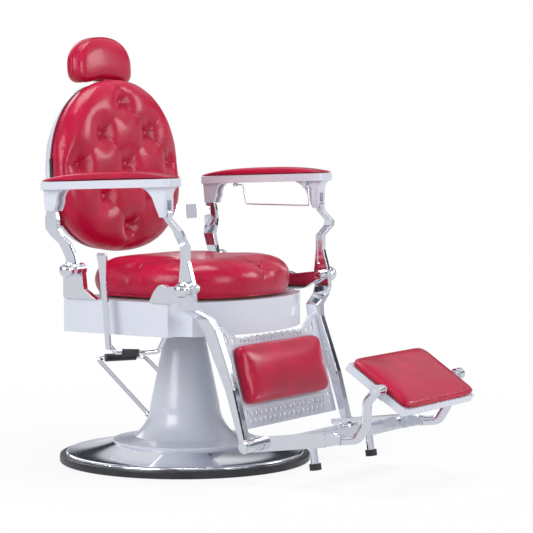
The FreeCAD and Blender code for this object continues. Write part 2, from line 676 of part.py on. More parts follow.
def leg_slabs(sign):
    upper = sign * upper_across
    lower = sign * post_across
    rail = sign * rail_across
    knee = (front_z - rail_foot_z) / 389
    return [
        (rail, rail_foot_y + 2, rail_foot_z - 6, rail_half, 11),
        (rail, rail_foot_y + 22, rail_foot_z + 66 * knee, rail_half, 12.5),
        (rail, rail_foot_y + 44, rail_foot_z + 139 * knee, rail_half, 14.5),
        (rail, front_y - 50, rail_foot_z + 211 * knee, rail_half, 18.5),
        (rail + sign, front_y - 20, front_z - 105, rail_half + 1, 21),
        (rail + sign * 14, front_y - 9, front_z - 76, rail_half + 6, 20),
        (lower - sign * 8, front_y + 2, front_z - 52, post_half + 5, 21),
        (lower, front_y + 1, front_z - 31, post_half, 24),
        (lower, front_y + 4, front_z + 12, post_half, 23),
        (lower, front_y + 9, front_z + 68, post_half, 12),
        (lower, front_y + 9, front_top_z - 82, post_half, 12.5),
        (upper - sign * 6, front_y + 2, front_top_z - 56, post_half, 13),
        (upper, front_y + 4, front_top_z - 42, upper_half, 12.5),
        (upper, front_top_y - 9, front_top_z - 16, upper_half, 11.5),
        (upper, front_top_y, front_top_z + 4, upper_half, 10)]


groove_half, groove_deep = 7.0, 3.0
groove_low, groove_high = front_z + 36, front_z + 94
pin_radius = float(size.pin_radius)
foot_pin = float(size.foot_pin_radius)
open_bore = pin_radius + float(size.open_pivot_clearance)
for hand, sign in SIDES:
    casting = loft_of_slabs(leg_slabs(sign))
    boss = along_x(15, sign * (post_across - post_half), sign * (post_across + post_half),
                   front_y, front_z)
    eye = along_x(11.5, sign * (upper_across - upper_half), sign * (upper_across + upper_half),
                  front_top_y, front_top_z)
    foot_eye = along_x(float(size.rail_eye), sign * (rail_across - rail_half),
                       sign * (rail_across + rail_half), rail_foot_y, rail_foot_z)
    casting = casting.fuse([boss, eye, foot_eye]).removeSplitter()
    face_x = sign * (post_across - post_half)
    groove = [along_x(groove_half, face_x - sign, face_x + sign * groove_deep, front_y + 8, z)
              for z in (groove_low, groove_high)]
    groove.append(Part.makeBox(groove_deep + 1, 2 * groove_half, groove_high - groove_low,
                               Vector(min(face_x - sign, face_x + sign * groove_deep),
                                      front_y + 8 - groove_half, groove_low)))
    bores = groove + [
        along_x(float(bolt_bore), sign * (post_across - 27), sign * (post_across + 23), front_y, front_z),
        along_x(open_bore, sign * (upper_across - 25), sign * (upper_across + 25),
                front_top_y, front_top_z),
        along_x(foot_pin, sign * (rail_across - 20), sign * (rail_across + 17),
                rail_foot_y, rail_foot_z)]
    keep(shaped("leg_" + hand, casting.cut(bores)), "leg_casting_" + hand)

# The pierced panel spans the rails and carries the calf pad.
panel_half = rail_across - rail_half - gap / 2
panel_length = float(size.panel_length)
panel_thick = float(size.panel_thickness)
panel_lean = math.radians(float(size.panel_lean))
panel_horn = float(size.panel_horn)
panel_place = Placement(Vector(0, -float(size.panel_top_forward), float(size.frame_bottom) + panel_horn),
                        Rotation(Vector(1, 0, 0), -float(size.panel_lean)))

# Its top edge dips under the frame's bowed front and rises at the corners, where it is clear of it.
dip = (panel_horn + float(size.panel_clearance)) / math.cos(panel_lean)
bow_radius = float(size.frame_front_radius)
bow_middle = bow_radius - float(size.frame_front)
panel_rear = float(size.panel_top_forward) - panel_thick
waist = math.sqrt(bow_radius ** 2 - (bow_middle + panel_rear) ** 2)
shoulder = panel_half - 14


def panel_top(x):
    """Height of the panel's top edge in its own plane."""
    rise = min(max((abs(x) - waist) / (shoulder - waist), 0), 1)
    return -dip * (1 - rise * rise * (3 - 2 * rise))


edge_steps = 8
edge_xs = [waist + (shoulder - waist) * step / edge_steps for step in range(edge_steps + 1)]
curves = [Part.BSplineCurve(), Part.BSplineCurve()]
curves[0].interpolate([Vector(-x, 0, panel_top(x)) for x in reversed(edge_xs)])
curves[1].interpolate([Vector(x, 0, panel_top(x)) for x in edge_xs])
corners = [Vector(-waist, 0, -dip), Vector(waist, 0, -dip), Vector(shoulder, 0, 0),
           Vector(panel_half, 0, 0), Vector(panel_half, 0, -panel_length),
           Vector(-panel_half, 0, -panel_length), Vector(-panel_half, 0, 0), Vector(-shoulder, 0, 0)]
lines = [Part.LineSegment(corners[0], corners[1]).toShape()]
lines += [Part.LineSegment(start, end).toShape() for start, end in zip(corners[2:], corners[3:])]
panel_outline = [curves[0].toShape(), lines[0], curves[1].toShape()] + lines[1:]
panel = Part.Face(Part.Wire(panel_outline)).extrude(Vector(0, panel_thick, 0))
calf_half = float(size.calf_half_width)
calf_top = float(size.calf_top)
calf_length = float(size.calf_length)
pierced = float(size.pierced_radius)


def pierce(x, z, radius):
    return Part.makeCylinder(radius, panel_thick + 2, Vector(x, -1, z), Vector(0, 1, 0))


holes = []
margin = (panel_half + calf_half) / 2
for sign in (-1, 1):
    for step in range(9):
        z = -18 - step * (panel_length - 36) / 8
        holes.append(pierce(sign * margin, z, pierced if step % 2 else pierced * 0.6))
for step in range(11):
    x = -calf_half + 12 + step * (2 * calf_half - 24) / 10
    top_hole = min(pierced, 0.3 * (calf_top - dip))
    holes.append(pierce(x, (panel_top(x) - calf_top) / 2, top_hole if step % 2 else top_hole * 0.6))
    low = -(calf_top + calf_length + panel_length) / 2
    holes.append(pierce(x, low, pierced * 1.3 if step % 2 else pierced * 0.7))
keep(shaped("pierced_panel", panel.cut(holes), panel_place), "leg_panel")


def squab(width, length, depth, corner, shoulder_radius):
    """A squared cushion on its flat back, with round corners and a soft upper edge."""
    pad = Part.makeBox(width, length, depth, Vector(-width / 2, -length / 2, 0))
    corners = [edge for edge in pad.Edges if abs(edge.Vertexes[0].Z - edge.Vertexes[-1].Z) > 1]
    pad = pad.makeFillet(corner, corners)
    rim = [edge for edge in pad.Edges if edge.CenterOfMass.z > depth - 0.01]
    return pad.makeFillet(shoulder_radius, rim)


calf = squab(2 * calf_half, calf_length, float(size.calf_thickness), float(size.calf_corner),
             float(size.calf_shoulder))
calf.Placement = panel_place.multiply(Placement(Vector(0, -gap, -calf_top - calf_length / 2),
                                                Rotation(Vector(1, 0, 0), 90)))
keep(shaped("calf", calf), "calf_pad")

# The foot frame hangs from pins at the rail feet: two side bars, a cross casting, two stub feet.
foot_place = Placement(Vector(0, rail_foot_y, rail_foot_z),
                       Rotation(Vector(1, 0, 0), -float(size.foot_lean)))


def in_foot_frame(shape):
    shape.Placement = foot_place.multiply(shape.Placement)
    return shape


def foot_box(x0, x1, front, rear, z0, z1):
    low, high = min(x0, x1), max(x0, x1)
    return Part.makeBox(high - low, front - rear, z1 - z0, Vector(low, -front, z0))


bar_across = float(size.bar_across)
bar_half = float(size.bar_thickness) / 2
bar_high = float(size.bar_height) / 2
bar_reach = float(size.bar_reach)
knuckle = float(size.knuckle_radius)
bars = []
for hand, sign in SIDES:
    x0, x1 = sign * (bar_across - bar_half), sign * (bar_across + bar_half)
    bar = foot_box(x0, x1, bar_reach - 20, -float(size.bar_rear), -bar_high, bar_high)
    neck = foot_box(x0, x1, bar_reach, bar_reach - 24, -11, 11)
    eye = along_x(knuckle - 2, x0, x1, -bar_reach, 0)
    bar = bar.fuse([neck, eye]).removeSplitter()
    bar = bar.cut([along_x(foot_pin + fit, x0, x1, 0, 0), along_x(6 + fit, x0, x1, -bar_reach, 0)])
    bars.append(in_foot_frame(bar))
keep(shaped("bars", Part.makeCompound(bars)), "foot_bars")
pins = []
for hand, sign in SIDES:
    rail_outside = rail_across + rail_half
    shank = along_x(foot_pin, sign * (bar_across - bar_half - 4), sign * rail_outside,
                    rail_foot_y, rail_foot_z)
    head = along_x(12, sign * rail_outside, sign * (rail_outside + 5), rail_foot_y, rail_foot_z)
    spacer = along_x(15, sign * (bar_across + bar_half + gap), sign * (rail_across - rail_half),
                     rail_foot_y, rail_foot_z)
    pins.append(shank.fuse([head, spacer]).removeSplitter())
keep(shaped("foot_pins", Part.makeCompound(pins)), "foot_pivot_pins")

cross_half = bar_across - bar_half
cross_rear = float(size.cross_rear)
cross_front = float(size.cross_front)
cross_top = float(size.cross_height) / 2
cross = foot_box(-cross_half, cross_half, cross_front, cross_rear, -cross_top, cross_top)
cross_wall = float(size.cross_wall)
pocket = foot_box(-cross_half + cross_wall, cross_half - cross_wall, cross_front - cross_wall,
                  cross_rear + cross_wall, -cross_top - 1, cross_top - cross_wall)
medal = Part.Ellipse(Vector(0, -(cross_front + cross_rear) / 2, cross_top),
                     float(size.medallion_length) / 2, 20)
medal = Part.Face(Part.Wire(medal.toShape())).extrude(Vector(0, 0, float(size.medallion_rise)))
stub_across = float(size.stub_across)
stub_reach = float(size.stub_reach)
stub_seats = [Part.makeCylinder(float(size.stub_radius) + 6, 2 * cross_top - cross_wall,
                                Vector(sign * stub_across, -stub_reach - 8, -cross_top))
              for hand, sign in SIDES]
cross = cross.cut(pocket).fuse([medal] + stub_seats).removeSplitter()
keep(shaped("cross", in_foot_frame(cross)), "foot_crosspiece")
stubs = []
tips = []
stub_length = float(size.stub_length)
for hand, sign in SIDES:
    top = Vector(sign * stub_across, -stub_reach - 8, -cross_top - stub_length)
    stubs.append(in_foot_frame(Part.makeCylinder(float(size.stub_radius), stub_length, top)))
    below = top - Vector(0, 0, float(size.tip_height))
    tips.append(in_foot_frame(Part.makeCylinder(float(size.tip_radius), float(size.tip_height), below)))
keep(shaped("stubs", Part.makeCompound(stubs)), "stub_feet")
keep(shaped("tips", Part.makeCompound(tips)), "stub_tips")

# Cranked arms swing on the bar ends and hold the foot rest between their eyes.
knuckle_at = foot_place.multVec(Vector(0, -bar_reach, 0))
rest_y = -float(size.foot_pivot_forward)
rest_z = float(size.foot_pivot_height)
arm_radius = float(size.foot_arm_radius)
trunnion = float(size.trunnion_radius)
clamps = []
cheek = 8.0
clamp_front = knuckle_at.y - knuckle - 14
clamp_low = knuckle_at.z - 11
for hand, sign in SIDES:
    members = []
    for side in (-1, 1):
        near, far = bar_across + side * (bar_half + gap), bar_across + side * (bar_half + cheek)
        members.append(along_x(knuckle, sign * near, sign * far, knuckle_at.y, knuckle_at.z))
        members.append(Part.makeBox(cheek - gap, knuckle + 14, 22, Vector(
            min(sign * near, sign * far), clamp_front, clamp_low)))
    outside = bar_half + cheek
    members.append(Part.makeBox(2 * outside, 12, 22, Vector(
        sign * bar_across - outside, clamp_front, clamp_low)))
    members.append(along_x(6, sign * (bar_across - outside), sign * (bar_across + outside),
                           knuckle_at.y, knuckle_at.z))
    clamp = members[0].fuse(members[1:]).removeSplitter()
    clamps.append(clamp)
    start = Vector(sign * bar_across, clamp_front, knuckle_at.z)
    path = [(start.x, start.y, start.z), (start.x, start.y - 42, start.z + 6),
            (start.x, start.y - 66, start.z + 44), (start.x, rest_y + 27, rest_z - 28),
            (start.x, rest_y + 8, rest_z - 8)]
    crank = rod(path, arm_radius, float(size.foot_arm_bend))
    head = along_x(arm_radius + 3, start.x - 12, start.x + 12, rest_y, rest_z)
    head_bore = along_x(trunnion + fit, start.x - 13, start.x + 13, rest_y, rest_z)
    crank = crank.fuse(head).removeSplitter().cut([head_bore, clamp])
    keep(shaped("crank_" + hand, crank), "foot_arm_" + hand)

keep(shaped("clamps", Part.makeCompound(clamps)), "foot_knuckles")

# The foot rest flips over on its trunnions: a padded side and a cast tray side.
rest_place = Placement(Vector(0, rest_y, rest_z), Rotation(Vector(1, 0, 0), float(size.rest_slope)))
rest_half = float(size.rest_half_width)
rest_rear = float(size.rest_rear)
rest_front = float(size.rest_front)
tray_top = -float(size.rest_pad_under) - gap
tray_bottom = tray_top - float(size.tray_depth)
tray_wall = float(size.tray_wall)
tray_depth = float(size.tray_depth)
rest_long = rest_rear + rest_front
tray = Part.makeBox(2 * rest_half, rest_long, tray_depth, Vector(-rest_half, -rest_front, tray_bottom))
hollow = Part.makeBox(2 * (rest_half - tray_wall), rest_long - 2 * tray_wall, tray_depth, Vector(
    -rest_half + tray_wall, -rest_front + tray_wall, tray_bottom - tray_wall))
ear = float(size.ear_thickness)
ears = []
for hand, sign in SIDES:
    low = min(sign * (rest_half - 0.5), sign * (rest_half + ear))
    ears.append(Part.makeBox(ear + 0.5, 28, 20, Vector(low, -14, tray_bottom)))
    ears.append(along_x(11, sign * (rest_half + 1), sign * (rest_half + ear), 0, 0))
    low = min(sign * (rest_half + 1), sign * (rest_half + ear))
    ears.append(Part.makeBox(ear - 1, 22, -tray_bottom, Vector(low, -11, tray_bottom)))
    ears.append(along_x(trunnion, sign * rest_half + sign * ear, sign * (bar_across + 12), 0, 0))
tray = tray.cut(hollow).fuse(ears).removeSplitter()
tray.Placement = rest_place
keep(shaped("tray", tray), "foot_tray")
rest_thick = float(size.rest_pad_top) + float(size.rest_pad_under)
rest_pad = squab(2 * (rest_half - gap), rest_long, rest_thick, float(size.rest_corner),
                 float(size.rest_shoulder))
rest_pad.Placement = rest_place.multiply(
    Placement(Vector(0, (rest_rear - rest_front) / 2, -float(size.rest_pad_under)), Rotation()))
keep(shaped("rest_cushion", rest_pad), "foot_pad")


# Rear posts step outwards too; a yoke that crosses inside the shell ties them to the back.
def post_slabs(sign):
    upper = sign * upper_across
    lower = sign * post_across
    return [
        (lower, rear_y, rear_z - 9, post_half, 13), (lower, rear_y + 3, rear_z + 10, post_half, 16),
        (lower, rear_y + 9, rear_z + 33, post_half, 17),
        (lower + sign * 6, rear_y + 22, rear_z + 65, post_half, 18),
        (upper - sign * 10, rear_y + 32, rear_z + 87, post_half, 19),
        (upper, rear_y + 38, rear_top_z - 83, upper_half, 21),
        (upper, rear_top_y, rear_top_z - 59, upper_half, 20),
        (upper, rear_top_y, rear_top_z - 43, upper_half, 16),
        (upper, rear_top_y, rear_top_z + 3, upper_half, 11)]


for hand, sign in SIDES:
    post = loft_of_slabs(post_slabs(sign))
    boss = along_x(17, sign * (post_across - post_half), sign * (post_across + post_half), rear_y, rear_z)
    eye = along_x(12.5, sign * (upper_across - upper_half), sign * (upper_across + upper_half),
                  rear_top_y, rear_top_z)
    post = post.fuse([boss, eye]).removeSplitter()
    post = post.cut([
        along_x(float(bolt_bore), sign * (post_across - 27), sign * (post_across + 23), rear_y, rear_z),
        along_x(pin_radius + fit, sign * (upper_across - 25), sign * (upper_across + 25),
                rear_top_y, rear_top_z)])
    keep(shaped("post_" + hand, post), "rear_post_" + hand)

# Back pieces are drawn upright with Y to the rear of the cushion's rim plane, then leaned back.
back_place = Placement(Vector(0, float(size.back_rim_y), float(size.back_centre_height)),
                       Rotation(Vector(1, 0, 0), -float(size.back_lean)))
back_half = float(size.back_half_width)
back_above = float(size.back_top)
back_below = float(size.back_bottom)
fullness = float(size.back_fullness)
back_depth = float(size.back_depth)


def back_ring(depth, share, trim=0.0):
    ring = oval(back_half * share - trim, back_above * share - trim, back_below * share - trim,
                fullness, 32)
    return [(x, depth, z) for x, z in ring]


crown = float(size.back_crown)
REAR_LAYERS = ((1.0, 0.955), (0.5, 0.99), (0.0, 1.0))
FRONT_LAYERS = ((0.34, 0.985), (0.6, 0.94), (0.78, 0.87), (0.89, 0.78), (0.95, 0.67), (0.98, 0.55),
                (0.995, 0.42), (1.0, 0.28))
back = padded_loft([back_ring(along * back_depth, share) for along, share in REAR_LAYERS]
                   + [back_ring(-along * crown, share) for along, share in FRONT_LAYERS])
row = float(size.button_row)
spacing = float(size.button_spacing)
button_places = []
for level in range(-2, 3):
    count = 3 - abs(level)
    for index in range(count):
        button_places.append(((index - (count - 1) / 2) * spacing, 42 + level * row))
back_buttons = []
for x, z in button_places:
    edge = math.hypot(x / back_half, z / (back_above if z > 0 else back_below))
    floor = Vector(x, -crown * (1 - 0.42 * edge ** 3) + float(size.back_tuft_depth), z)
    back = back.cut(recess(floor, Vector(0, -1, 0)))
    back_buttons.append(button(floor, Vector(0, -1, 0)))
keep(shaped("back", back, back_place), "back_cushion")
button_stack = Part.makeCompound(back_buttons)
keep(shaped("back_button_set", button_stack, back_place), "back_buttons")
keep(shaped("seat_button_set", Part.makeCompound(seat_button_list)), "seat_buttons")

board_share = 1 - float(size.back_board_inset) / back_half
shell_share = 1 - float(size.shell_inset) / back_half
board_front = back_depth + gap
board_rear = board_front + float(size.back_board_thickness)
ply = padded_loft([back_ring(depth, board_share) for depth in (board_front, board_rear)])
keep(shaped("back_ply", ply, back_place), "back_board")
shell_front = board_rear + gap
shell_deep = float(size.shell_depth)
SHELL_LAYERS = ((0.0, 1.0), (0.3, 0.985), (0.58, 0.94), (0.78, 0.86), (0.9, 0.76), (0.96, 0.64),
                (0.99, 0.49), (1.0, 0.33))
shell_wall = float(size.shell_wall)
shell = padded_loft([back_ring(shell_front + along * shell_deep, share * shell_share)
                     for along, share in SHELL_LAYERS])
shell_space = padded_loft([back_ring(shell_front + along * (shell_deep - shell_wall),
                                     share * shell_share, shell_wall)
                           for along, share in SHELL_LAYERS])
shell = shell.cut(shell_space)
stem_half = float(size.stem_width) / 2
stem_thick = float(size.stem_thickness)
stem_depth = float(size.stem_depth)
stem_slot = Part.makeBox(2 * stem_half + 4, stem_thick + 4, 120,
                         Vector(-stem_half - 2, stem_depth - stem_thick / 2 - 2, back_above - 60))
yoke_half = float(size.yoke_height) / 2
yoke_thick = float(size.yoke_thickness) / 2
yoke_level = float(size.yoke_level)
yoke_slot = Part.makeBox(2 * back_half, 2 * yoke_thick + 2 * gap + 1, 2 * (yoke_half + gap),
                         Vector(-back_half, shell_front - 1, yoke_level - yoke_half - gap))
keep(shaped("shell", shell.cut([stem_slot, yoke_slot]), back_place), "back_shell")
bumper = float(size.bumper_length)
bumpers = []
for sign in (-1, 1):
    low = min(sign * (back_half * board_share + 1), sign * (back_half * shell_share - 1))
    bumpers.append(Part.makeBox(back_half * (shell_share - board_share) - 2, board_rear - board_front,
                                bumper, Vector(low, board_front, 8)))
keep(shaped("bumper_pair", Part.makeCompound(bumpers), back_place), "back_bumpers")


# The yoke lies across the back of the board, leaves the shell by a slot on each side and bends
# forward round the cushion to the posts.
yoke_inner = upper_across - upper_half - gap
yoke_y = board_rear + gap + yoke_thick
rim_x = back_half * (1 - (-yoke_level / back_below) ** fullness) ** (1 / fullness)
yoke_path = [(yoke_inner, -48, 11), (yoke_inner - 12, -41, 12), (yoke_inner - 30, -28, yoke_half),
             (yoke_inner - 54, -5, yoke_half), (rim_x + 15, 23, yoke_half), (rim_x, yoke_y, yoke_half),
             (rim_x - 32, yoke_y, yoke_half)]
yoke_path = yoke_path + [(-x, y, half) for x, y, half in reversed(yoke_path)]
sections = []
for index, (x, y, half) in enumerate(yoke_path):
    before = yoke_path[max(index - 1, 0)]
    after = yoke_path[min(index + 1, len(yoke_path) - 1)]
    along = Vector(after[0] - before[0], after[1] - before[1], 0).normalize()
    if index in (0, len(yoke_path) - 1):
        along = Vector(-1, 0, 0)
    across = Vector(-along.y, along.x, 0) * yoke_thick
    at = Vector(x, y, yoke_level)
    up = Vector(0, 0, half)
    corners = [at - across - up, at + across - up, at + across + up, at - across + up]
    sections.append(Part.makePolygon(corners + [corners[0]]))
keep(shaped("yoke", Part.makeLoft(sections, True, True), back_place), "back_yoke")

# The headrest slides on a flat stem in a socket behind the board.
stem_bottom = back_above - 130
stem_top = stem_bottom + float(size.stem_length)
stem_box = Part.makeBox(2 * stem_half, stem_thick, stem_top - stem_bottom,
                        Vector(-stem_half, stem_depth - stem_thick / 2, stem_bottom))
keep(shaped("stem", stem_box, back_place), "headrest_stem")
socket_wall = float(size.socket_wall)
socket_length = float(size.socket_length)
socket_deep = stem_depth + stem_thick / 2 + socket_wall - shell_front + gap
socket = Part.makeBox(2 * (stem_half + socket_wall), socket_deep, socket_length,
                      Vector(-stem_half - socket_wall, shell_front - gap, stem_bottom + 30))
socket_hole = Part.makeBox(2 * (stem_half + fit), stem_thick + 2 * fit, socket_length + 2,
                           Vector(-stem_half - fit, stem_depth - stem_thick / 2 - fit, stem_bottom + 29))
keep(shaped("socket", socket.cut(socket_hole), back_place), "headrest_socket")
head_half = float(size.headrest_half_width)
head_rise = float(size.headrest_rise)
head_thick = float(size.headrest_thickness)
head_hollow = float(size.headrest_hollow)


def headrest_ring(along, share):
    """A ring of the headrest: domed above and drawn up in the middle of its lower edge."""
    ring = []
    for x, z in oval(head_half, head_rise * 0.62, head_rise * 0.38, 2.6, 32):
        lift = head_hollow * (1 - min(abs(x) / (head_half * 0.75), 1) ** 2) if z < 0 else 0
        ring.append((x * share, along * head_thick, head_rise * 0.38 + (z + lift) * share))
    return ring


HEAD_LAYERS = ((1.0, 0.72), (0.93, 0.9), (0.7, 1.0), (0.3, 1.0), (0.1, 0.92), (0.02, 0.78), (0.0, 0.5))
headrest = padded_loft([headrest_ring(along, share) for along, share in HEAD_LAYERS])
headrest.Placement = Placement(Vector(0, float(size.headrest_front), float(size.headrest_height)),
                               Rotation(Vector(1, 0, 0), -float(size.back_lean)))
stem_pocket = Part.makeBox(2 * (stem_half + gap), stem_thick + 2 * gap, stem_top - stem_bottom + gap,
                           Vector(-stem_half - gap, stem_depth - stem_thick / 2 - gap, stem_bottom))
stem_pocket.Placement = back_place
keep(shaped("head_cushion", headrest.cut(stem_pocket)), "headrest_pad")

# An armrest is an enamelled bar with two forks; each fork straddles the top of a post.
arm_width = float(size.arm_width)
arm_thick = float(size.arm_thickness)
fork = float(size.fork_width)
fork_gap = float(size.fork_gap)
arm_y0, arm_y1 = -float(size.arm_front), float(size.arm_rear)
arm_z0 = front_top_z + float(size.arm_front_rise)
arm_z1 = rear_top_z + float(size.arm_rear_rise)
arm_slope = math.degrees(math.atan2(arm_z0 - arm_z1, arm_y1 - arm_y0))
towel_x = float(size.towel_across)
wire = float(size.towel_wire_radius)


def arm_top(y):
    return arm_z1 + (arm_y1 - y) * (arm_z0 - arm_z1) / (arm_y1 - arm_y0)


def under_arm(y):
    return arm_top(y) - arm_thick


def side_prism(points, x0, x1):
    """A flat piece from a side outline (y, z); four numbers are an arc by one point to the next."""
    low, high = min(x0, x1), max(x0, x1)
    edges = []
    last = Vector(low, *points[-1][-2:])
    for point in points:
        end = Vector(low, *point[-2:])
        if len(point) == 4:
            edges.append(Part.Arc(last, Vector(low, *point[:2]), end).toShape())
        else:
            edges.append(Part.LineSegment(last, end).toShape())
        last = end
    return Part.Face(Part.Wire(edges)).extrude(Vector(high - low, 0, 0))


towel_front = -float(size.towel_front)
towel_rear = float(size.towel_rear)
towel_z = min(under_arm(towel_front), under_arm(towel_rear)) - float(size.towel_gap)
for hand, sign in SIDES:
    x = sign * float(size.arm_across)
    top = side_prism([(arm_y0, arm_z0), (arm_y1, arm_z1), (arm_y1, under_arm(arm_y1)),
                      (arm_y0, under_arm(arm_y0))], x - arm_width / 2, x + arm_width / 2)
    upright = [edge for edge in top.Edges if abs(edge.Length - arm_thick) < 0.5]
    top = top.makeFillet(float(size.arm_corner), upright)
    nose, throat = front_top_y - 26, front_top_y + 78
    front_leg = side_prism([
        (nose, under_arm(nose) + 1),
        (front_top_y - 13, front_top_z + 54, front_top_y - 10, front_top_z + 36),
        (front_top_y - 10, front_top_z), (front_top_y - 7, front_top_z - 10),
        (front_top_y + 7, front_top_z - 10), (front_top_y + 16, front_top_z + 8),
        (front_top_y + 25, front_top_z + 28),
        (front_top_y + 43, front_top_z + 52, throat, under_arm(throat) + 1)], x - fork / 2, x + fork / 2)
    heel, brow = arm_y1 - 3, rear_top_y - 68
    rear_leg = side_prism([
        (heel, under_arm(heel) + 1), (rear_top_y + 9, rear_top_z - 38), (rear_top_y - 19, rear_top_z - 38),
        (rear_top_y - 28, rear_top_z - 17), (rear_top_y - 28, rear_top_z - 8),
        (rear_top_y - 38, rear_top_z + 12, brow, under_arm(brow) + 1)], x - fork / 2, x + fork / 2)
    slots = []
    for y, z, height in ((front_top_y, front_top_z, float(size.front_slot)),
                         (rear_top_y, rear_top_z, float(size.rear_slot))):
        slots.append(Part.makeBox(fork_gap, 140, height + 50, Vector(x - fork_gap / 2, y - 70, z - 50)))
    frame = top.fuse([front_leg, rear_leg])
    if hand == "left":
        lug = float(size.lug_size)
        for y in (towel_front + 11, towel_rear + float(size.towel_hook)):
            frame = frame.fuse(Part.makeBox(lug, lug, under_arm(y) + 2 - towel_z + lug / 2,
                                            Vector(towel_x - lug / 2, y - lug / 2, towel_z - lug / 2)))
    frame = frame.removeSplitter()
    bores = slots + [along_x(pin_radius, x - 30, x + 30, front_top_y, front_top_z),
                     along_x(pin_radius, x - 30, x + 30, rear_top_y, rear_top_z)]
    if hand == "left":
        bores.append(Part.makeCylinder(wire + fit, arm_y1 - arm_y0, Vector(towel_x, arm_y0, towel_z),
                                       Vector(0, 1, 0)))
    keep(shaped("arm_" + hand, frame.cut(bores)), "arm_frame_" + hand)
    arm_pins = [along_x(pin_radius, x - fork / 2, x + fork / 2, y, z)
                for y, z in ((front_top_y, front_top_z), (rear_top_y, rear_top_z))]
    keep(shaped("pins_" + hand, Part.makeCompound(arm_pins)), "arm_pins_" + hand)
    length = math.hypot(arm_y1 - arm_y0, arm_z0 - arm_z1) - 2 * float(size.arm_pad_inset)
    half = arm_width / 2 - float(size.arm_pad_inset)
    corner = float(size.arm_corner) - float(size.arm_pad_inset)
    pad_rings = []
    for along in (-1, -0.985, -0.96, -0.93, -0.89, -0.7, -0.4, 0, 0.4, 0.7, 0.89, 0.93, 0.96, 0.985, 1):
        high = 3 + (float(size.arm_pad_rise) - 3) * (1 - abs(along) ** 3)
        into = min((1 - abs(along)) * length / 2, corner)
        wide = half - corner + math.sqrt(corner ** 2 - (corner - into) ** 2)
        y = along * length / 2
        crown = Part.Arc(Vector(wide, y, 0.45 * high), Vector(0, y, high), Vector(-wide, y, 0.45 * high))
        corners = [Vector(-wide, y, 0.45 * high), Vector(-wide, y, 0), Vector(wide, y, 0),
                   Vector(wide, y, 0.45 * high)]
        flats = [Part.LineSegment(start, end).toShape() for start, end in zip(corners, corners[1:])]
        pad_rings.append(Part.Wire([crown.toShape()] + flats))
    pad = Part.makeLoft(pad_rings, True, True)
    pad.Placement = Placement(Vector(x, (arm_y0 + arm_y1) / 2, (arm_z0 + arm_z1) / 2 + gap),
                              Rotation(Vector(1, 0, 0), -arm_slope))
    keep(shaped("arm_cushion_" + hand, pad), "arm_pad_" + hand)

# A thin towel rail swings under the left armrest from two lugs.
towel_drop = float(size.towel_drop)
towel_low = towel_z - towel_drop
towel_path = [(towel_x, y, z) for y, z in (
    (towel_front + 17, towel_z), (towel_front, towel_z), (towel_front - 3, towel_low),
    (towel_rear - float(size.towel_lean), towel_low), (towel_rear, towel_z),
    (towel_rear + float(size.towel_hook) + 8, towel_z))]
keep(shaped("towel_wire", rod(towel_path, wire, 4.0)), "towel_rail")

doc.recompute()
for item in doc.Objects:
    if "Invalid" in item.State or "Error" in item.State:
        raise RuntimeError("%s failed: %s" % (item.Name, item.State))
for item in parts:
    if item.Shape.isNull() or not item.Shape.isValid():
        raise RuntimeError(item.Label + " has no valid shape")

os.makedirs("parts", exist_ok=True)
for item in parts:
    item.Shape.exportStep(os.path.join("parts", item.Label + ".step"))
whole = FreeCAD.BoundBox()
for item in parts:
    whole.add(item.Shape.BoundBox)
corners = (whole.XMin, whole.YMin, whole.ZMin, whole.XMax, whole.YMax, whole.ZMax)
print(len(parts), "parts, box", [round(value, 1) for value in corners])
for item in parts:
    print("%-22s %2d solids %9.0f mm3" % (item.Label, len(item.Shape.Solids), item.Shape.Volume))
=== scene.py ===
import bpy
import bmesh
import math
from mathutils import Matrix, Vector
from mathutils.bvhtree import BVHTree


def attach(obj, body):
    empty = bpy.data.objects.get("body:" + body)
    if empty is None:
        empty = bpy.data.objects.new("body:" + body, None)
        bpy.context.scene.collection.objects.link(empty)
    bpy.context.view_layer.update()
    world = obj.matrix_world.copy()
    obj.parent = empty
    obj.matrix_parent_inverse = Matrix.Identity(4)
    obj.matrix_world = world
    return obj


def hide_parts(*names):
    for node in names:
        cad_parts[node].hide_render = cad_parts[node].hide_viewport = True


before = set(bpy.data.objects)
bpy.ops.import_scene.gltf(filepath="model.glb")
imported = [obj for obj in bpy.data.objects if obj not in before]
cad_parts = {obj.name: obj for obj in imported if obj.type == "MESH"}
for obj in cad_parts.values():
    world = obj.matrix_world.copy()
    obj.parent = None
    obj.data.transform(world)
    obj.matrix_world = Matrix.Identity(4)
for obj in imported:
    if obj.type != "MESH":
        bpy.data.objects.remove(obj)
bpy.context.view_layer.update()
scene = bpy.context.scene
scene.view_settings.view_transform = "Standard"

# Camera: a long lens at seat height, a good five metres off, looking at the chair from its
# right front.
azimuth, elevation, distance = math.radians(-56.9), math.radians(3.8), 5.568
AIM_HIGH, AIM_ASIDE = 0.5134, 0.2166
away = Vector((math.sin(azimuth) * math.cos(elevation), -math.cos(azimuth) * math.cos(elevation),
               math.sin(elevation)))
aim = Vector((0, 0, AIM_HIGH)) + Vector((math.cos(azimuth), math.sin(azimuth), 0)) * AIM_ASIDE
camera = bpy.data.objects.new("photo_camera", bpy.data.cameras.new("photo_camera"))
camera.data.lens = 142.1
camera.data.sensor_width = 36
camera.location = aim + away * distance
camera.rotation_euler = away.to_track_quat("Z", "Y").to_euler()
scene.collection.objects.link(camera)
scene.camera = camera


# Studio: a white room with five softboxes round the chair and above it. Polished metal mirrors
# white cloth, a dim band a little above the horizon and the gaps between the lights.
def linear(code):
    """A hex sRGB colour as linear light."""
    channels = [int(code[i:i + 2], 16) / 255 for i in (0, 2, 4)]
    return [c / 12.92 if c <= 0.04045 else ((c + 0.055) / 1.055) ** 2.4 for c in channels] + [1.0]


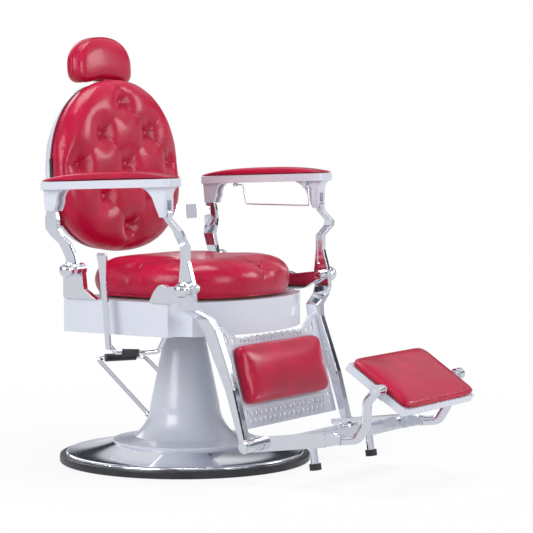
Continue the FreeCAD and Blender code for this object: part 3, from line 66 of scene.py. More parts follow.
def add(tree, kind, sockets=(), stops=(), **settings):
    """Adds a shader node with its links, settings and colour stops, each a place and a hex code."""
    made = tree.nodes.new("ShaderNode" + kind)
    for name, value in settings.items():
        setattr(made, name, value)
    for number, (place, code) in enumerate(stops):
        band = made.color_ramp.elements
        if number == len(band):
            band.new(1.0)
        band[number].position = place
        band[number].color = linear(code)
    for socket, value in dict(sockets).items():
        if isinstance(value, bpy.types.NodeSocket):
            tree.links.new(value, made.inputs[socket])
        else:
            made.inputs[socket].default_value = value
    return made.outputs


room = bpy.data.worlds.new("white_studio")
room.use_nodes = True
tree = room.node_tree
tree.nodes.clear()
path = add(tree, "LightPath")
toward = add(tree, "SeparateXYZ", {"Vector": add(tree, "TexCoord")["Generated"]})
height = add(tree, "MapRange", {"Value": toward["Z"], "From Min": -1.0, "From Max": 1.0})["Result"]
walls = add(tree, "ValToRGB", {"Fac": height}, stops=[
    (0.0, "DADCE1"), (0.495, "CDCFD5"), (0.560, "C6C8CF"), (0.590, "2C2F35"), (0.635, "363940"),
    (0.660, "C4C6CD"), (0.720, "DFE1E6"), (0.860, "E4E5E9"), (0.905, "6E717A"), (0.935, "7B7E86"),
    (0.965, "F4F4F6")])["Color"]
GAPS_ROUND = 4.0
turn = add(tree, "Math", {0: toward["Y"], 1: toward["X"]}, operation="ARCTAN2")[0]
turns = add(tree, "Math", {0: turn, 1: GAPS_ROUND}, operation="MULTIPLY")[0]
beat = add(tree, "Math", {0: turns}, operation="SINE")[0]
gaps = add(tree, "ValToRGB", {"Fac": beat},
           stops=[(0.0, "FFFFFF"), (0.84, "FFFFFF"), (0.95, "45484F")])["Color"]
# A colour Mix node takes its two colours at inputs 6 and 7 and gives the result at output 2.
mirrored = add(tree, "Mix", {"Factor": 0.7, 6: walls, 7: gaps},
               data_type="RGBA", blend_type="MULTIPLY")[2]
lit = add(tree, "Mix", {"Factor": path["Is Camera Ray"], 6: linear("868A94"), 7: linear("FFFFFF")},
          data_type="RGBA")[2]
sky = add(tree, "Mix", {"Factor": path["Is Glossy Ray"], 6: lit, 7: mirrored},
          data_type="RGBA")[2]
add(tree, "OutputWorld", {"Surface": add(tree, "Background", {"Color": sky, "Strength": 1.0})[0]})
scene.world = room
LIT_SPOT = Vector((0, -0.1, 0.55))
for name, place, size, power in (("key_softbox", (-3.3, 0.5, 1.9), (2.0, 1.8), 64),
                                 ("front_softbox", (-0.4, -3.9, 1.4), (1.5, 1.5), 38),
                                 ("side_softbox", (2.7, -2.9, 1.9), (1.5, 0.9), 34),
                                 ("overhead_softbox", (0.2, -0.2, 3.4), (1.7, 1.7), 52),
                                 ("rear_softbox", (1.4, 2.8, 2.0), (1.0, 1.8), 14)):
    lamp = bpy.data.lights.new(name, "AREA")
    lamp.shape = "RECTANGLE"
    lamp.size, lamp.size_y = size
    lamp.energy = power
    softbox = bpy.data.objects.new(name, lamp)
    softbox.location = place
    softbox.rotation_euler = (Vector(place) - LIT_SPOT).to_track_quat("Z", "Y").to_euler()
    scene.collection.objects.link(softbox)

# Floor: pale seamless paper, flat and matt. It takes the chair's soft contact shadow and fades
# into the white room a few steps away.
paper = bpy.data.materials.new("seamless_paper_matt")
paper.use_nodes = True
tree = paper.node_tree
tree.nodes.clear()
path = add(tree, "LightPath")
where = add(tree, "TexCoord")["Object"]
pulp = add(tree, "TexNoise", {"Vector": where, "Scale": 240.0, "Detail": 2.0})["Fac"]
tooth = add(tree, "Bump", {"Strength": 0.02, "Height": pulp})[0]
matt = add(tree, "BsdfDiffuse", {"Color": linear("F2F2F3"), "Normal": tooth})[0]
glow = add(tree, "Emission", {"Color": linear("FFFFFF"), "Strength": 1.0})[0]
from_chair = add(tree, "VectorMath", {0: where}, operation="LENGTH")["Value"]
fade = add(tree, "MapRange", {"Value": from_chair, "From Min": 0.45, "From Max": 2.0,
                              "To Min": 0.88, "To Max": 1.0},
           interpolation_type="SMOOTHSTEP")["Result"]
seen = add(tree, "MixShader", {"Fac": fade, 1: matt, 2: glow})[0]
bounced = add(tree, "MixShader", {"Fac": 0.30, 1: matt, 2: glow})[0]
for_eye = add(tree, "MixShader", {"Fac": path["Is Camera Ray"], 1: bounced, 2: seen})[0]
in_metal = add(tree, "Emission", {"Color": linear("DADCE0"), "Strength": 1.0})[0]
reflected = add(tree, "Math", {0: path["Is Glossy Ray"], 1: path["Is Transmission Ray"]},
                operation="MAXIMUM")[0]
shown = add(tree, "MixShader", {"Fac": reflected, 1: for_eye, 2: in_metal})[0]
add(tree, "OutputMaterial", {"Surface": shown})
FLOOR_EDGE = 14
floor_mesh = bpy.data.meshes.new("floor")
floor_mesh.from_pydata([(-FLOOR_EDGE, -FLOOR_EDGE, 0), (FLOOR_EDGE, -FLOOR_EDGE, 0),
                        (FLOOR_EDGE, FLOOR_EDGE, 0), (-FLOOR_EDGE, FLOOR_EDGE, 0)],
                       [], [(0, 1, 2, 3)])
floor_mesh.materials.append(paper)
floor = bpy.data.objects.new("floor", floor_mesh)
scene.collection.objects.link(floor)


# Base: a steel ballast plate with a moulded black rubber rim clipped round it. The rubber is
# satin and a little uneven; random lighter grey patches in its colour are painted sheen.
def surface(name):
    """An empty node material."""
    made = bpy.data.materials.new(name)
    made.use_nodes = True
    made.node_tree.nodes.clear()
    return made, made.node_tree


def coat(tree, sockets):
    """Closes a material with one layer, set by its sockets."""
    add(tree, "OutputMaterial", {"Surface": add(tree, "BsdfPrincipled", sockets)[0]})


def dress(material, *names):
    """Puts a finish on parts that keep their cast or machined shape."""
    for name in names:
        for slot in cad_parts[name].material_slots:
            slot.material = material


rubber, tree = surface("black_rubber_moulded")
at = add(tree, "TexCoord")["Object"]
# Mould texture of about 0.1 mm, drawn as 3 mm patches so that it shows.
skin = add(tree, "TexNoise", {"Vector": at, "Scale": 320.0, "Detail": 3.0})["Fac"]
painted_sheen_patches = add(tree, "TexNoise", {"Vector": at, "Scale": 34.0, "Detail": 5.0,
                                "Roughness": 0.65})["Fac"]
# The lighter grey of these random patches is painted sheen in the rubber's colour, not wear.
tone = add(tree, "ValToRGB", {"Fac": painted_sheen_patches},
           stops=[(0.35, "222226"), (0.62, "303035"), (0.80, "55555B")])["Color"]
sheen = add(tree, "MapRange", {"Value": painted_sheen_patches, "To Min": 0.30, "To Max": 0.46})["Result"]
relief = add(tree, "Bump", {"Strength": 0.12, "Distance": 0.0003, "Height": skin})[0]
coat(tree, {"Base Color": tone, "Roughness": sheen, "IOR": 1.5, "Normal": relief})
dress(rubber, "base_rim")

# Black lacquer brushed over rough iron: glossy on top of the casting's own lumps.
lacquer, tree = surface("black_lacquer_on_cast_iron")
at = add(tree, "TexCoord")["Object"]
sand = add(tree, "TexNoise", {"Vector": at, "Scale": 90.0, "Detail": 4.0})["Fac"]
tone = add(tree, "ValToRGB", {"Fac": sand}, stops=[(0.3, "17171A"), (0.7, "26272B")])["Color"]
relief = add(tree, "Bump", {"Strength": 0.2, "Distance": 0.0006, "Height": sand})[0]
coat(tree, {"Base Color": tone, "Roughness": 0.30, "Coat Weight": 0.3, "Coat Roughness": 0.1,
            "Normal": relief})
dress(lacquer, "base_plate")

# Base cover: a steel disc pressed to a shallow dome, polished and chromed. It mirrors the room
# nearly cleanly, with a bluish cast, slight polishing haze and softened edges.
chrome, tree = surface("chrome_plate_on_polished_steel")
at = add(tree, "TexCoord")["Object"]
haze = add(tree, "TexNoise", {"Vector": at, "Scale": 60.0, "Detail": 4.0})["Fac"]
waves = add(tree, "TexNoise", {"Vector": at, "Scale": 14.0, "Detail": 1.0})["Fac"]
edge = add(tree, "Bevel", {"Radius": 0.0012}, samples=4)["Normal"]
tone = add(tree, "ValToRGB", {"Fac": haze}, stops=[(0.3, "E8EAF0"), (0.7, "EDEEF3")])["Color"]
sheen = add(tree, "MapRange", {"Value": haze, "To Min": 0.08, "To Max": 0.11})["Result"]
relief = add(tree, "Bump", {"Strength": 0.03, "Distance": 0.001, "Height": waves,
                            "Normal": edge})[0]
coat(tree, {"Base Color": tone, "Metallic": 1.0, "Roughness": sheen, "Normal": relief})
dress(chrome, "base_cover", "cylinder_gland")

# Pedestal: a spun steel shell over the pump, sprayed with white enamel and baked. Cool white
# under a clear gloss, with the faint orange peel of a sprayed coat.
enamel, tree = surface("white_enamel_baked")
at = add(tree, "TexCoord")["Object"]
# Orange peel of about 1 mm, drawn at 6 mm.
peel = add(tree, "TexNoise", {"Vector": at, "Scale": 160.0, "Detail": 2.0})["Fac"]
drift = add(tree, "TexNoise", {"Vector": at, "Scale": 5.0, "Detail": 2.0})["Fac"]
edge = add(tree, "Bevel", {"Radius": 0.0016}, samples=4)["Normal"]
tone = add(tree, "ValToRGB", {"Fac": drift}, stops=[(0.25, "D6D9E3"), (0.75, "DDDFE8")])["Color"]
sheen = add(tree, "MapRange", {"Value": peel, "To Min": 0.22, "To Max": 0.30})["Result"]
relief = add(tree, "Bump", {"Strength": 0.06, "Distance": 0.0003, "Height": peel,
                            "Normal": edge})[0]
coat(tree, {"Base Color": tone, "Roughness": sheen, "IOR": 1.52, "Coat Weight": 0.4,
            "Coat Roughness": 0.08, "Normal": relief})
dress(enamel, "pedestal")

# Pump cylinder: steel turned on a lathe and wiped with oil, with fine rings round it. The ram
# that slides in it is chromed, and the swivel race on top of the ram is lacquered iron.
steel, tree = surface("steel_turned_and_oiled")
at = add(tree, "TexCoord")["Object"]
# Tool marks of 0.2 mm, drawn 2 mm apart.
marks = add(tree, "TexWave", {"Vector": at, "Scale": 160.0, "Distortion": 0.6},
            bands_direction="Z")["Fac"]
film = add(tree, "TexNoise", {"Vector": at, "Scale": 45.0, "Detail": 3.0})["Fac"]
sheen = add(tree, "MapRange", {"Value": film, "To Min": 0.24, "To Max": 0.36})["Result"]
relief = add(tree, "Bump", {"Strength": 0.10, "Distance": 0.0002, "Height": marks})[0]
coat(tree, {"Base Color": linear("9A9CA1"), "Metallic": 1.0, "Roughness": sheen,
            "Normal": relief})
dress(steel, "pump_cylinder")
dress(chrome, "ram")
dress(lacquer, "swivel_bearing")

# Pump pedal: a bent chromed rod on a cross shaft through the pedestal, with a rubber grip
# pushed over its end.
dress(chrome, "pedal_frame")
dress(rubber, "pedal_grip")

# Seat frame: a deep enamelled casting on an iron spider and turning plate, which hide the
# pump's head and the recline lock under the deck. The lever hangs in a turned steel bearing.
dress(enamel, "seat_frame")
dress(lacquer, "seat_spider", "swivel_plate", "recline_lock")
dress(steel, "lever_bearing")

# Brackets: four polished and chromed castings bolted to the frame's sides. Bolts through them
# carry the legs and the back, each closed by a ball nut.
dress(chrome, "front_bracket_right", "front_bracket_left", "rear_bracket_right",
      "rear_bracket_left", "pivot_bolts", "ball_nuts")

# Seat board: birch plywood let into the underside of the cushion, left raw, with pale straight
# grain.
plywood, tree = surface("birch_plywood_raw")
at = add(tree, "TexCoord")["Object"]
along = add(tree, "Mapping", {"Vector": at, "Scale": (4.0, 60.0, 60.0)})[0]
# Grain lines of about 2 mm.
grain = add(tree, "TexNoise", {"Vector": along, "Scale": 8.0, "Detail": 5.0,
                               "Distortion": 0.7})["Fac"]
tone = add(tree, "ValToRGB", {"Fac": grain}, stops=[(0.3, "A98357"), (0.7, "CBA878")])["Color"]
relief = add(tree, "Bump", {"Strength": 0.2, "Distance": 0.0004, "Height": grain})[0]
coat(tree, {"Base Color": tone, "Roughness": 0.62, "Normal": relief})
dress(plywood, "seat_board")


# Seat cushion: moulded foam on the board under one crimson hide, deep at the front and full at
# its sides. Buttons on its shoulder are drawn in on twine and pull the leather into folds.
def piece(name, points, faces, material, body):
    """A smooth mesh piece that rides on a body."""
    mesh = bpy.data.meshes.new(name)
    mesh.from_pydata([tuple(p) for p in points], [], faces)
    mesh.validate()
    mesh.materials.append(material)
    mesh.shade_smooth()
    made = bpy.data.objects.new(name, mesh)
    scene.collection.objects.link(made)
    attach(made, body)
    return made


def stuffed(name, rings, body):
    """A closed leather form through rings of equal count, closed by a fan at each end."""
    count = len(rings[0])
    points = [p for ring in rings for p in ring]
    faces = []
    for row in range(len(rings) - 1):
        for i in range(count):
            j = (i + 1) % count
            faces.append((row * count + i, row * count + j,
                          (row + 1) * count + j, (row + 1) * count + i))
    for ring, start, flip in ((rings[0], 0, True), (rings[-1], (len(rings) - 1) * count, False)):
        points.append(sum((Vector(p) for p in ring), Vector()) / count)
        hub = len(points) - 1
        for i in range(count):
            j = (i + 1) % count
            faces.append((start + j, start + i, hub) if flip else (start + i, start + j, hub))
    made = piece(name, points, faces, leather, body)
    shape = bmesh.new()
    shape.from_mesh(made.data)
    bmesh.ops.recalc_face_normals(shape, faces=shape.faces)
    shape.to_mesh(made.data)
    shape.free()
    return made


def applied(made):
    """Bakes a piece's modifiers into its mesh."""
    final = made.evaluated_get(bpy.context.evaluated_depsgraph_get())
    shaped = bpy.data.meshes.new_from_object(final)
    made.modifiers.clear()
    made.data = shaped
    shaped.shade_smooth()


SETTLED = 20


def inflate(made, voxel, held, slack, pressure, reach):
    """Fills a cushion by cloth simulation; held(point) is how firmly its stitching holds it.

    Its leather is slack by a share, and no point moves further than the reach."""
    remesh = made.modifiers.new("remesh", "REMESH")
    remesh.mode = "VOXEL"
    remesh.voxel_size = voxel
    applied(made)
    before = [v.co.copy() for v in made.data.vertices]
    pins = made.vertex_groups.new(name="stitched")
    for vertex in made.data.vertices:
        pins.add([vertex.index], held(vertex.co), "REPLACE")
    cloth = made.modifiers.new("cloth", "CLOTH")
    cloth.settings.use_pressure = True
    cloth.settings.uniform_pressure_force = pressure
    cloth.settings.shrink_min = -slack
    cloth.settings.effector_weights.gravity = 0
    cloth.settings.vertex_group_mass = "stitched"
    cloth.settings.quality = 5
    cloth.settings.bending_stiffness = 0.8
    cloth.collision_settings.use_collision = False
    for step in range(1, SETTLED + 1):
        scene.frame_set(step)
    applied(made)
    scene.frame_set(1)
    made.vertex_groups.clear()
    for vertex, start in zip(made.data.vertices, before):
        moved = vertex.co - start
        if moved.length > reach:
            vertex.co = start + moved.normalized() * reach
    smooth = made.modifiers.new("relax", "SMOOTH")
    smooth.factor = 0.5
    smooth.iterations = 8
    made.modifiers.new("subdivide", "SUBSURF").levels = 1
    applied(made)


def crease(made, depth):
    """Presses folds into a piece's leather, each point inwards by depth(point)."""
    normals = [v.normal.copy() for v in made.data.vertices]
    for vertex, normal in zip(made.data.vertices, normals):
        vertex.co -= normal * depth(vertex.co)


def surface_of(made):
    """A piece's faces, to be searched for places on them."""
    return BVHTree.FromPolygons([v.co for v in made.data.vertices],
                                [p.vertices for p in made.data.polygons])


def on_surface(made, points, outward=0.0):
    """Moves points to the nearest spot on a piece, then a little outwards."""
    face = surface_of(made)
    placed = []
    for point in points:
        spot, normal, _, _ = face.find_nearest(Vector(point))
        placed.append(spot + normal * outward)
    return placed


def run(curve, kind, points, closed=True):
    """Adds a line through points to a curve."""
    spline = curve.splines.new(kind)
    spline.points.add(len(points) - 1)
    for knot, point in zip(spline.points, points):
        knot.co = (*point, 1)
    spline.use_cyclic_u = closed
    return spline


def welt(name, points, radius, body):
    """A closed piping covered in leather and sewn into a seam."""
    line = bpy.data.curves.new(name, "CURVE")
    line.dimensions = "3D"
    line.bevel_depth = radius
    line.bevel_resolution = 3
    run(line, "NURBS", points).order_u = 3
    line.materials.append(leather)
    made = bpy.data.objects.new(name, line)
    scene.collection.objects.link(made)
    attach(made, body)


def buttons(name, seats, body, radius=0.0095):
    """Leather-covered buttons, each a shallow dome with a tucked rim, facing out of its tuft."""
    profile = [(0.0, 0.0046), (0.35, 0.0043), (0.65, 0.0034), (0.88, 0.0018), (1.0, -0.0002),
               (0.93, -0.0022), (0.6, -0.0034)]
    points, faces, count = [], [], 20
    for centre, facing in seats:
        tilt = facing.to_track_quat("Z", "Y").to_matrix()
        hub = len(points)
        points.append(centre + tilt @ Vector((0, 0, profile[0][1])))
        for share, rise in profile[1:]:
            for i in range(count):
                angle = 2 * math.pi * i / count
                points.append(centre + tilt @ Vector((radius * share * math.cos(angle),
                                                      radius * share * math.sin(angle), rise)))
        for i in range(count):
            faces.append((hub, hub + 1 + i, hub + 1 + (i + 1) % count))
        for row in range(len(profile) - 2):
            first = hub + 1 + row * count
            for i in range(count):
                j = (i + 1) % count
                faces.append((first + i, first + count + i, first + count + j, first + j))
        faces.append([hub + 1 + (len(profile) - 2) * count + i for i in range(count)])
    return piece(name, points, faces, leather, body)


def around(shape, count, *sizes):
    """Points of a closed outline at equal steps of angle."""
    return [shape(2 * math.pi * i / count, *sizes) for i in range(count)]


def tilted(y, z, degrees):
    """The place of a piece that is drawn upright: in the chair's middle plane, leaning."""
    return Matrix.Translation((0, y, z)) @ Matrix.Rotation(math.radians(degrees), 4, "X")


def oval(angle, half_x, half_up, half_down, fullness):
    """A point of a superellipse with its own reach above and below the middle."""
    x = half_x * math.copysign(abs(math.cos(angle)) ** (2 / fullness), math.cos(angle))
    up = math.copysign(abs(math.sin(angle)) ** (2 / fullness), math.sin(angle))
    return x, up * (half_up if up > 0 else half_down)


# Crimson leather: cowhide embossed with a pebble grain and sealed with a thin satin coat. The
# stretch of the hide breaks its soft highlights; hollows look nearly maroon.
leather, tree = surface("crimson_leather_embossed_coated")
at = add(tree, "TexCoord")["Object"]
# Pebbles of about 1 mm, drawn at 2.2 mm.
pebble = add(tree, "TexVoronoi", {"Vector": at, "Scale": 450.0},
             feature="DISTANCE_TO_EDGE")["Distance"]
hide = add(tree, "TexNoise", {"Vector": at, "Scale": 12.0, "Detail": 4.0})["Fac"]
stretch = add(tree, "TexNoise", {"Vector": at, "Scale": 40.0, "Detail": 5.0,
                                 "Roughness": 0.55})["Fac"]
soft = add(tree, "Bump", {"Strength": 0.10, "Distance": 0.0012, "Height": stretch})[0]
fine = add(tree, "Bump", {"Strength": 0.20, "Distance": 0.0002, "Height": pebble,
                          "Normal": soft})[0]
tone = add(tree, "ValToRGB", {"Fac": hide},
           stops=[(0.30, "AA0632"), (0.55, "BA0838"), (0.75, "C60E42")])["Color"]
sheen = add(tree, "MapRange", {"Value": stretch, "To Min": 0.28, "To Max": 0.36})["Result"]
coat(tree, {"Base Color": tone, "Roughness": sheen, "IOR": 1.5, "Specular IOR Level": 0.25,
            "Coat Weight": 0.25, "Coat Roughness": 0.14, "Coat IOR": 1.5, "Normal": fine})

SEAT_MIDDLE, SEAT_LOW, SEAT_HIGH = -0.054, 0.4450, 0.5430
TUFT_HIGH = 0.527
SEAT_TUFTS = [Vector((-0.236, -0.018, TUFT_HIGH)), Vector((0.236, -0.018, TUFT_HIGH)),
              Vector((0.0, -0.250, TUFT_HIGH))]


def seat_outline(angle, share):
    behind = math.sin(angle) > 0
    x, y = oval(angle, 0.2515, 0.229, 0.211, 4.0 if behind else 2.3)
    return x * share, SEAT_MIDDLE + y * share


# Each ring's height between underside and top, and its share of the outline.
profile = [(0.0, 0.02), (0.0, 0.45), (0.0, 0.84), (0.02, 0.925), (0.08, 0.955), (0.20, 0.984),
           (0.35, 0.998), (0.48, 0.998), (0.60, 0.988), (0.70, 0.973), (0.78, 0.953),
           (0.85, 0.925), (0.90, 0.892), (0.94, 0.852), (0.968, 0.80), (0.985, 0.73),
           (0.995, 0.64), (1.0, 0.52), (1.002, 0.38), (1.003, 0.22), (1.003, 0.02)]
rings = []
for rise, share in profile:
    ring = []
    for x, y in around(seat_outline, 132, share):
        point = Vector((x, y, SEAT_LOW + rise * (SEAT_HIGH - SEAT_LOW)))
        inward = (Vector((0, SEAT_MIDDLE, 0.47)) - point).normalized()
        for tuft in SEAT_TUFTS:
            gap = point - tuft
            point += inward * 0.014 * math.exp(-(gap.length / 0.028) ** 1.4)
            along = math.hypot(gap.x, gap.y)
            point += inward * 0.002 * math.exp(-(along / 0.070) ** 2 - (gap.z / 0.010) ** 2)
        ring.append(point)
    rings.append(ring)
seat_leather = stuffed("seat_leather", rings, "seat")


def seat_held(point):
    near = min((point - tuft).length for tuft in SEAT_TUFTS)
    return 1.0 if point.z < SEAT_LOW + 0.006 or near < 0.020 else 0.0


def seat_folds(point):
    """Fine folds that radiate from each button, deepest close to it."""
    depth = 0.0
    for tuft in SEAT_TUFTS:
        gap = point - tuft
        if gap.length > 0.12:
            continue
        outward = Vector((tuft.x, tuft.y - SEAT_MIDDLE, 0)).normalized()
        across = gap.dot(Vector((-outward.y, outward.x, 0)))
        turn = math.atan2(gap.z + gap.dot(outward) * -0.6, across)
        folds = max(math.cos(7 * turn + 0.6), 0) ** 3
        depth += 0.0016 * folds * math.exp(-(gap.length / 0.045) ** 2) * min(gap.length / 0.014, 1)
    return depth


inflate(seat_leather, 0.0058, seat_held, slack=0.0, pressure=2.5, reach=0.004)
crease(seat_leather, seat_folds)
seats = []
for tuft in SEAT_TUFTS:
    facing = (tuft - Vector((0, SEAT_MIDDLE, 0.44))).normalized()
    spot = on_surface(seat_leather, [tuft - facing * 0.012])[0]
    seats.append((spot + facing * 0.001, facing))
seat_button_caps = buttons("seat_button_caps", seats, "seat")
seam = [(x, y, SEAT_LOW + 0.006) for x, y in around(seat_outline, 84, 0.945)]
welt("seat_welt", on_surface(seat_leather, seam, 0.0003), 0.0026, "seat")
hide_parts("seat_cushion")
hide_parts("seat_buttons")

# Recline lever: a flat chromed handle at the right of the seat and a bent rod to the lock under
# the deck, with a black rubber sleeve where the foot may knock it.
dress(chrome, "recline_lever", "lever_rod")
dress(rubber, "lever_sleeve")

# Back frame: two chromed posts bowed round the cushion's sides and joined by a flat yoke. The
# board has the cushion's hide drawn over its edge, and rubber bumpers; behind it are an
# enamelled shell and the headrest's steel socket.
dress(chrome, "rear_post_right", "rear_post_left", "back_yoke")
dress(leather, "back_board")
dress(enamel, "back_shell")
dress(rubber, "back_bumpers")
dress(steel, "headrest_socket")

# Back cushion: thick foam on the board under one hide, oval and rolled round its rim. Nine
# buttons set in diamonds draw it in; folds run between them and out to the rim.
BACK_LEAN = -3.5
back_at = tilted(0.217, 0.738, BACK_LEAN)
BACK_BUTTONS = [((i - (2 - abs(level)) / 2) * 0.200, 0.042 + 0.083 * level)
                for level in range(-2, 3) for i in range(3 - abs(level))]
BACK_FOLDS = [(a, b) for a in BACK_BUTTONS for b in BACK_BUTTONS
              if abs(b[0] - a[0] - 0.1) < 0.01 and abs(abs(b[1] - a[1]) - 0.083) < 0.01]
RIM_FOLDS = [((x, z), (x * 1.42, 0.035 + (z - 0.035) * 1.42)) for x, z in BACK_BUTTONS
             if math.hypot(x / 0.262, (z - 0.035) / 0.235) > 0.5]


def back_outline(angle, share):
    x, z = oval(angle, 0.2585, 0.2715, 0.1895, 2.25)
    return x * share, z * share


def from_fold(x, z, start, end):
    """The distance from a point of the face to a fold between two places."""
    along = Vector((end[0] - start[0], end[1] - start[1]))
    from_start = Vector((x - start[0], z - start[1]))
    share = min(max(from_start.dot(along) / along.length_squared, 0), 1)
    return (from_start - along * share).length


def back_face(reach):
    return -0.0465 * max(1 - reach ** 4.5, 0) ** 0.4


def back_drawn(x, z):
    """How far buttons and the wide valleys between them draw the face in."""
    drawn = sum(0.029 * math.exp(-(math.hypot(x - bx, z - bz) / 0.026) ** 1.25)
                for bx, bz in BACK_BUTTONS)
    return drawn + 0.0022 * max(math.exp(-(from_fold(x, z, *fold) / 0.014) ** 2)
                                for fold in BACK_FOLDS)


# The rear and the rolled rim, each ring by its depth and its share of the outline; then the face.
BACK_AROUND, FACE_ROWS = 150, 46
rings = []
for depth, share in ((0.026, 0.01), (0.026, 0.30), (0.026, 0.60), (0.026, 0.88), (0.0258, 0.935),
                     (0.022, 0.968), (0.0135, 0.988), (0.006, 0.997), (0.0, 1.0)):
    rings.append([Vector((x, depth, z)) for x, z in around(back_outline, BACK_AROUND, share)])
for row in range(1, FACE_ROWS + 1):
    share = max(1 - (row / FACE_ROWS) ** 1.7, 0.004)
    ring = []
    for x, z in around(back_outline, BACK_AROUND, share):
        inner = min((1 - share) / 0.08, 1)
        ring.append(Vector((x, back_face(share) + back_drawn(x, z) * inner, z)))
    rings.append(ring)
back_leather = stuffed("back_leather", rings, "back")


def back_held(point):
    near = min(math.hypot(point.x - x, point.z - z) for x, z in BACK_BUTTONS)
    if point.y > 0.016 or near < 0.012:
        return 1.0
    fold = min(from_fold(point.x, point.z, *ends) for ends in BACK_FOLDS)
    return 0.3 if fold < 0.007 and point.y < -0.015 else 0.0


def back_folds(point):
    """Sharp folds that leave the buttons along the diamonds and for the rim, and short gathers."""
    if point.y > 0.004:
        return 0.0
    near = min(math.hypot(point.x - x, point.z - z) for x, z in BACK_BUTTONS)
    reach = math.exp(-(near / 0.052) ** 2)
    depth = 0.0026 * reach * max(math.exp(-(from_fold(point.x, point.z, *ends) / 0.0034) ** 2)
                                 for ends in BACK_FOLDS)
    depth += 0.0022 * reach * max(math.exp(-(from_fold(point.x, point.z, *ends) / 0.0040) ** 2)
                                  for ends in RIM_FOLDS)
    for x, z in BACK_BUTTONS:
        away = math.hypot(point.x - x, point.z - z)
        if away < 0.07:
            turn = math.atan2(point.z - z, point.x - x)
            gather = max(math.cos(9 * turn + 40 * x), 0) ** 2
            depth += 0.0009 * gather * math.exp(-(away / 0.026) ** 2) * min(away / 0.016, 1)
    return depth


inflate(back_leather, 0.0055, back_held, slack=0.004, pressure=3.5, reach=0.006)
crease(back_leather, back_folds)
seats = []
face = surface_of(back_leather)
for x, z in BACK_BUTTONS:
    spot, normal, _, _ = face.ray_cast(Vector((x, -0.2, z)), Vector((0, 1, 0)))
    facing = Vector((normal.x * 0.4, -1, normal.z * 0.4)).normalized()
    seats.append((spot + Vector((0, -0.0030, 0)), facing))
back_button_caps = buttons("back_button_caps", seats, "back", 0.0112)
seam = [(x, 0.021, z) for x, z in around(back_outline, 90, 0.97)]
welt("back_welt", [back_at @ p for p in on_surface(back_leather, seam, 0.0004)], 0.0022, "back")
for made in (back_leather, back_button_caps):
    made.data.transform(back_at)
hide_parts("back_cushion")
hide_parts("back_buttons")

# Headrest: a boxed foam pillow with a bulging face panel, a gusset sewn round it behind a welt
# and a closing flap at each end, on a flat chromed stem. Its lower edge is drawn up in the middle.
dress(chrome, "headrest_stem")
head_at = tilted(0.248, 1.002, BACK_LEAN)


def head_outline(angle, share):
    x, z = oval(angle, 0.1215, 0.0780, 0.0530, 2.2 if math.sin(angle) > 0 else 4.0)
    if z < 0:
        z += 0.015 * (1 - min(abs(x) / 0.095, 1) ** 2)
    return x * share, 0.0460 + z * share


# From the rear to the face: each ring's depth and its share of the outline.
rings = []
for depth, share in ((0.0655, 0.05), (0.065, 0.35), (0.063, 0.68), (0.058, 0.86), (0.050, 0.945),
                     (0.040, 0.990), (0.028, 1.0), (0.020, 0.988), (0.0145, 0.965),
                     (0.0110, 0.945), (0.0070, 0.900), (0.0030, 0.82), (0.0004, 0.70),
                     (-0.0012, 0.54), (-0.0022, 0.34), (-0.0026, 0.05)):
    rings.append([Vector((x, depth, z)) for x, z in around(head_outline, 96, share)])
headrest_leather = stuffed("headrest_leather", rings, "headrest")


def head_held(point):
    if point.y > 0.056:
        return 1.0
    return 0.4 if 0.011 < point.y < 0.017 else 0.0


inflate(headrest_leather, 0.0042, head_held, slack=0.0, pressure=3.0, reach=0.003)
seam = [(x, 0.0140, z) for x, z in around(head_outline, 60, 0.965)]
seam = [head_at @ p for p in on_surface(headrest_leather, seam, 0.0003)]
welt("headrest_welt", seam, 0.0021, "headrest")
ACROSS, DOWN = 6, 12
spots, faces = [], []
for sign in (-1, 1):
    base = len(spots)
    grid = [(0.026 + 0.024 * u / ACROSS, 0.080 - 0.058 * v / DOWN)
            for v in range(DOWN + 1) for u in range(ACROSS + 1)]
    spots += on_surface(headrest_leather, [(sign * 0.124, y, z) for y, z in grid], 0.0012)
    for v in range(DOWN):
        for u in range(ACROSS):
            corner = base + v * (ACROSS + 1) + u
            faces.append((corner, corner + 1, corner + ACROSS + 2, corner + ACROSS + 1))
headrest_flaps = piece("headrest_flaps", spots, faces, leather, "headrest")
thick = headrest_flaps.modifiers.new("thickness", "SOLIDIFY")
thick.thickness = 0.0022
thick.offset = 0.0
headrest_flaps.modifiers.new("subdivide", "SUBSURF").levels = 1
applied(headrest_flaps)
for made in (headrest_leather, headrest_flaps):
    made.data.transform(head_at)
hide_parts("headrest_pad")

# Armrests: enamelled cast bars, each with two forks that straddle the posts on enamelled pins,
# so that the arms stay level as the back goes down.
dress(enamel, "arm_frame_right", "arm_frame_left", "arm_pins_right", "arm_pins_left")

# Arm pads: slim foam pads under crimson hide, screwed on from below. They are thickest in the
# middle and taper to the rounded ends, with a welt along their lower edge.
ARM_ASIDE, ARM_FRONT, ARM_REAR, ARM_WIDE, ARM_ROUND = 0.355, -0.2255, 0.1775, 0.0372, 0.022
ARM_ROWS, ARM_AROUND, EDGE_STEPS = 60, 36, 40


def arm_edge(y):
    """Half the pad's width at a place along it: full, then rounded off at both ends."""
    into = ARM_ROUND - min(y - ARM_FRONT, ARM_REAR - y)
    cut = ARM_ROUND - math.sqrt(max(ARM_ROUND ** 2 - into ** 2, 0)) if into > 0 else 0
    return ARM_WIDE - cut


def arm_base(y):
    """The height of the pad's underside, which falls a little to the rear."""
    return 0.7570 - 0.0140 * (y - ARM_FRONT) / (ARM_REAR - ARM_FRONT)


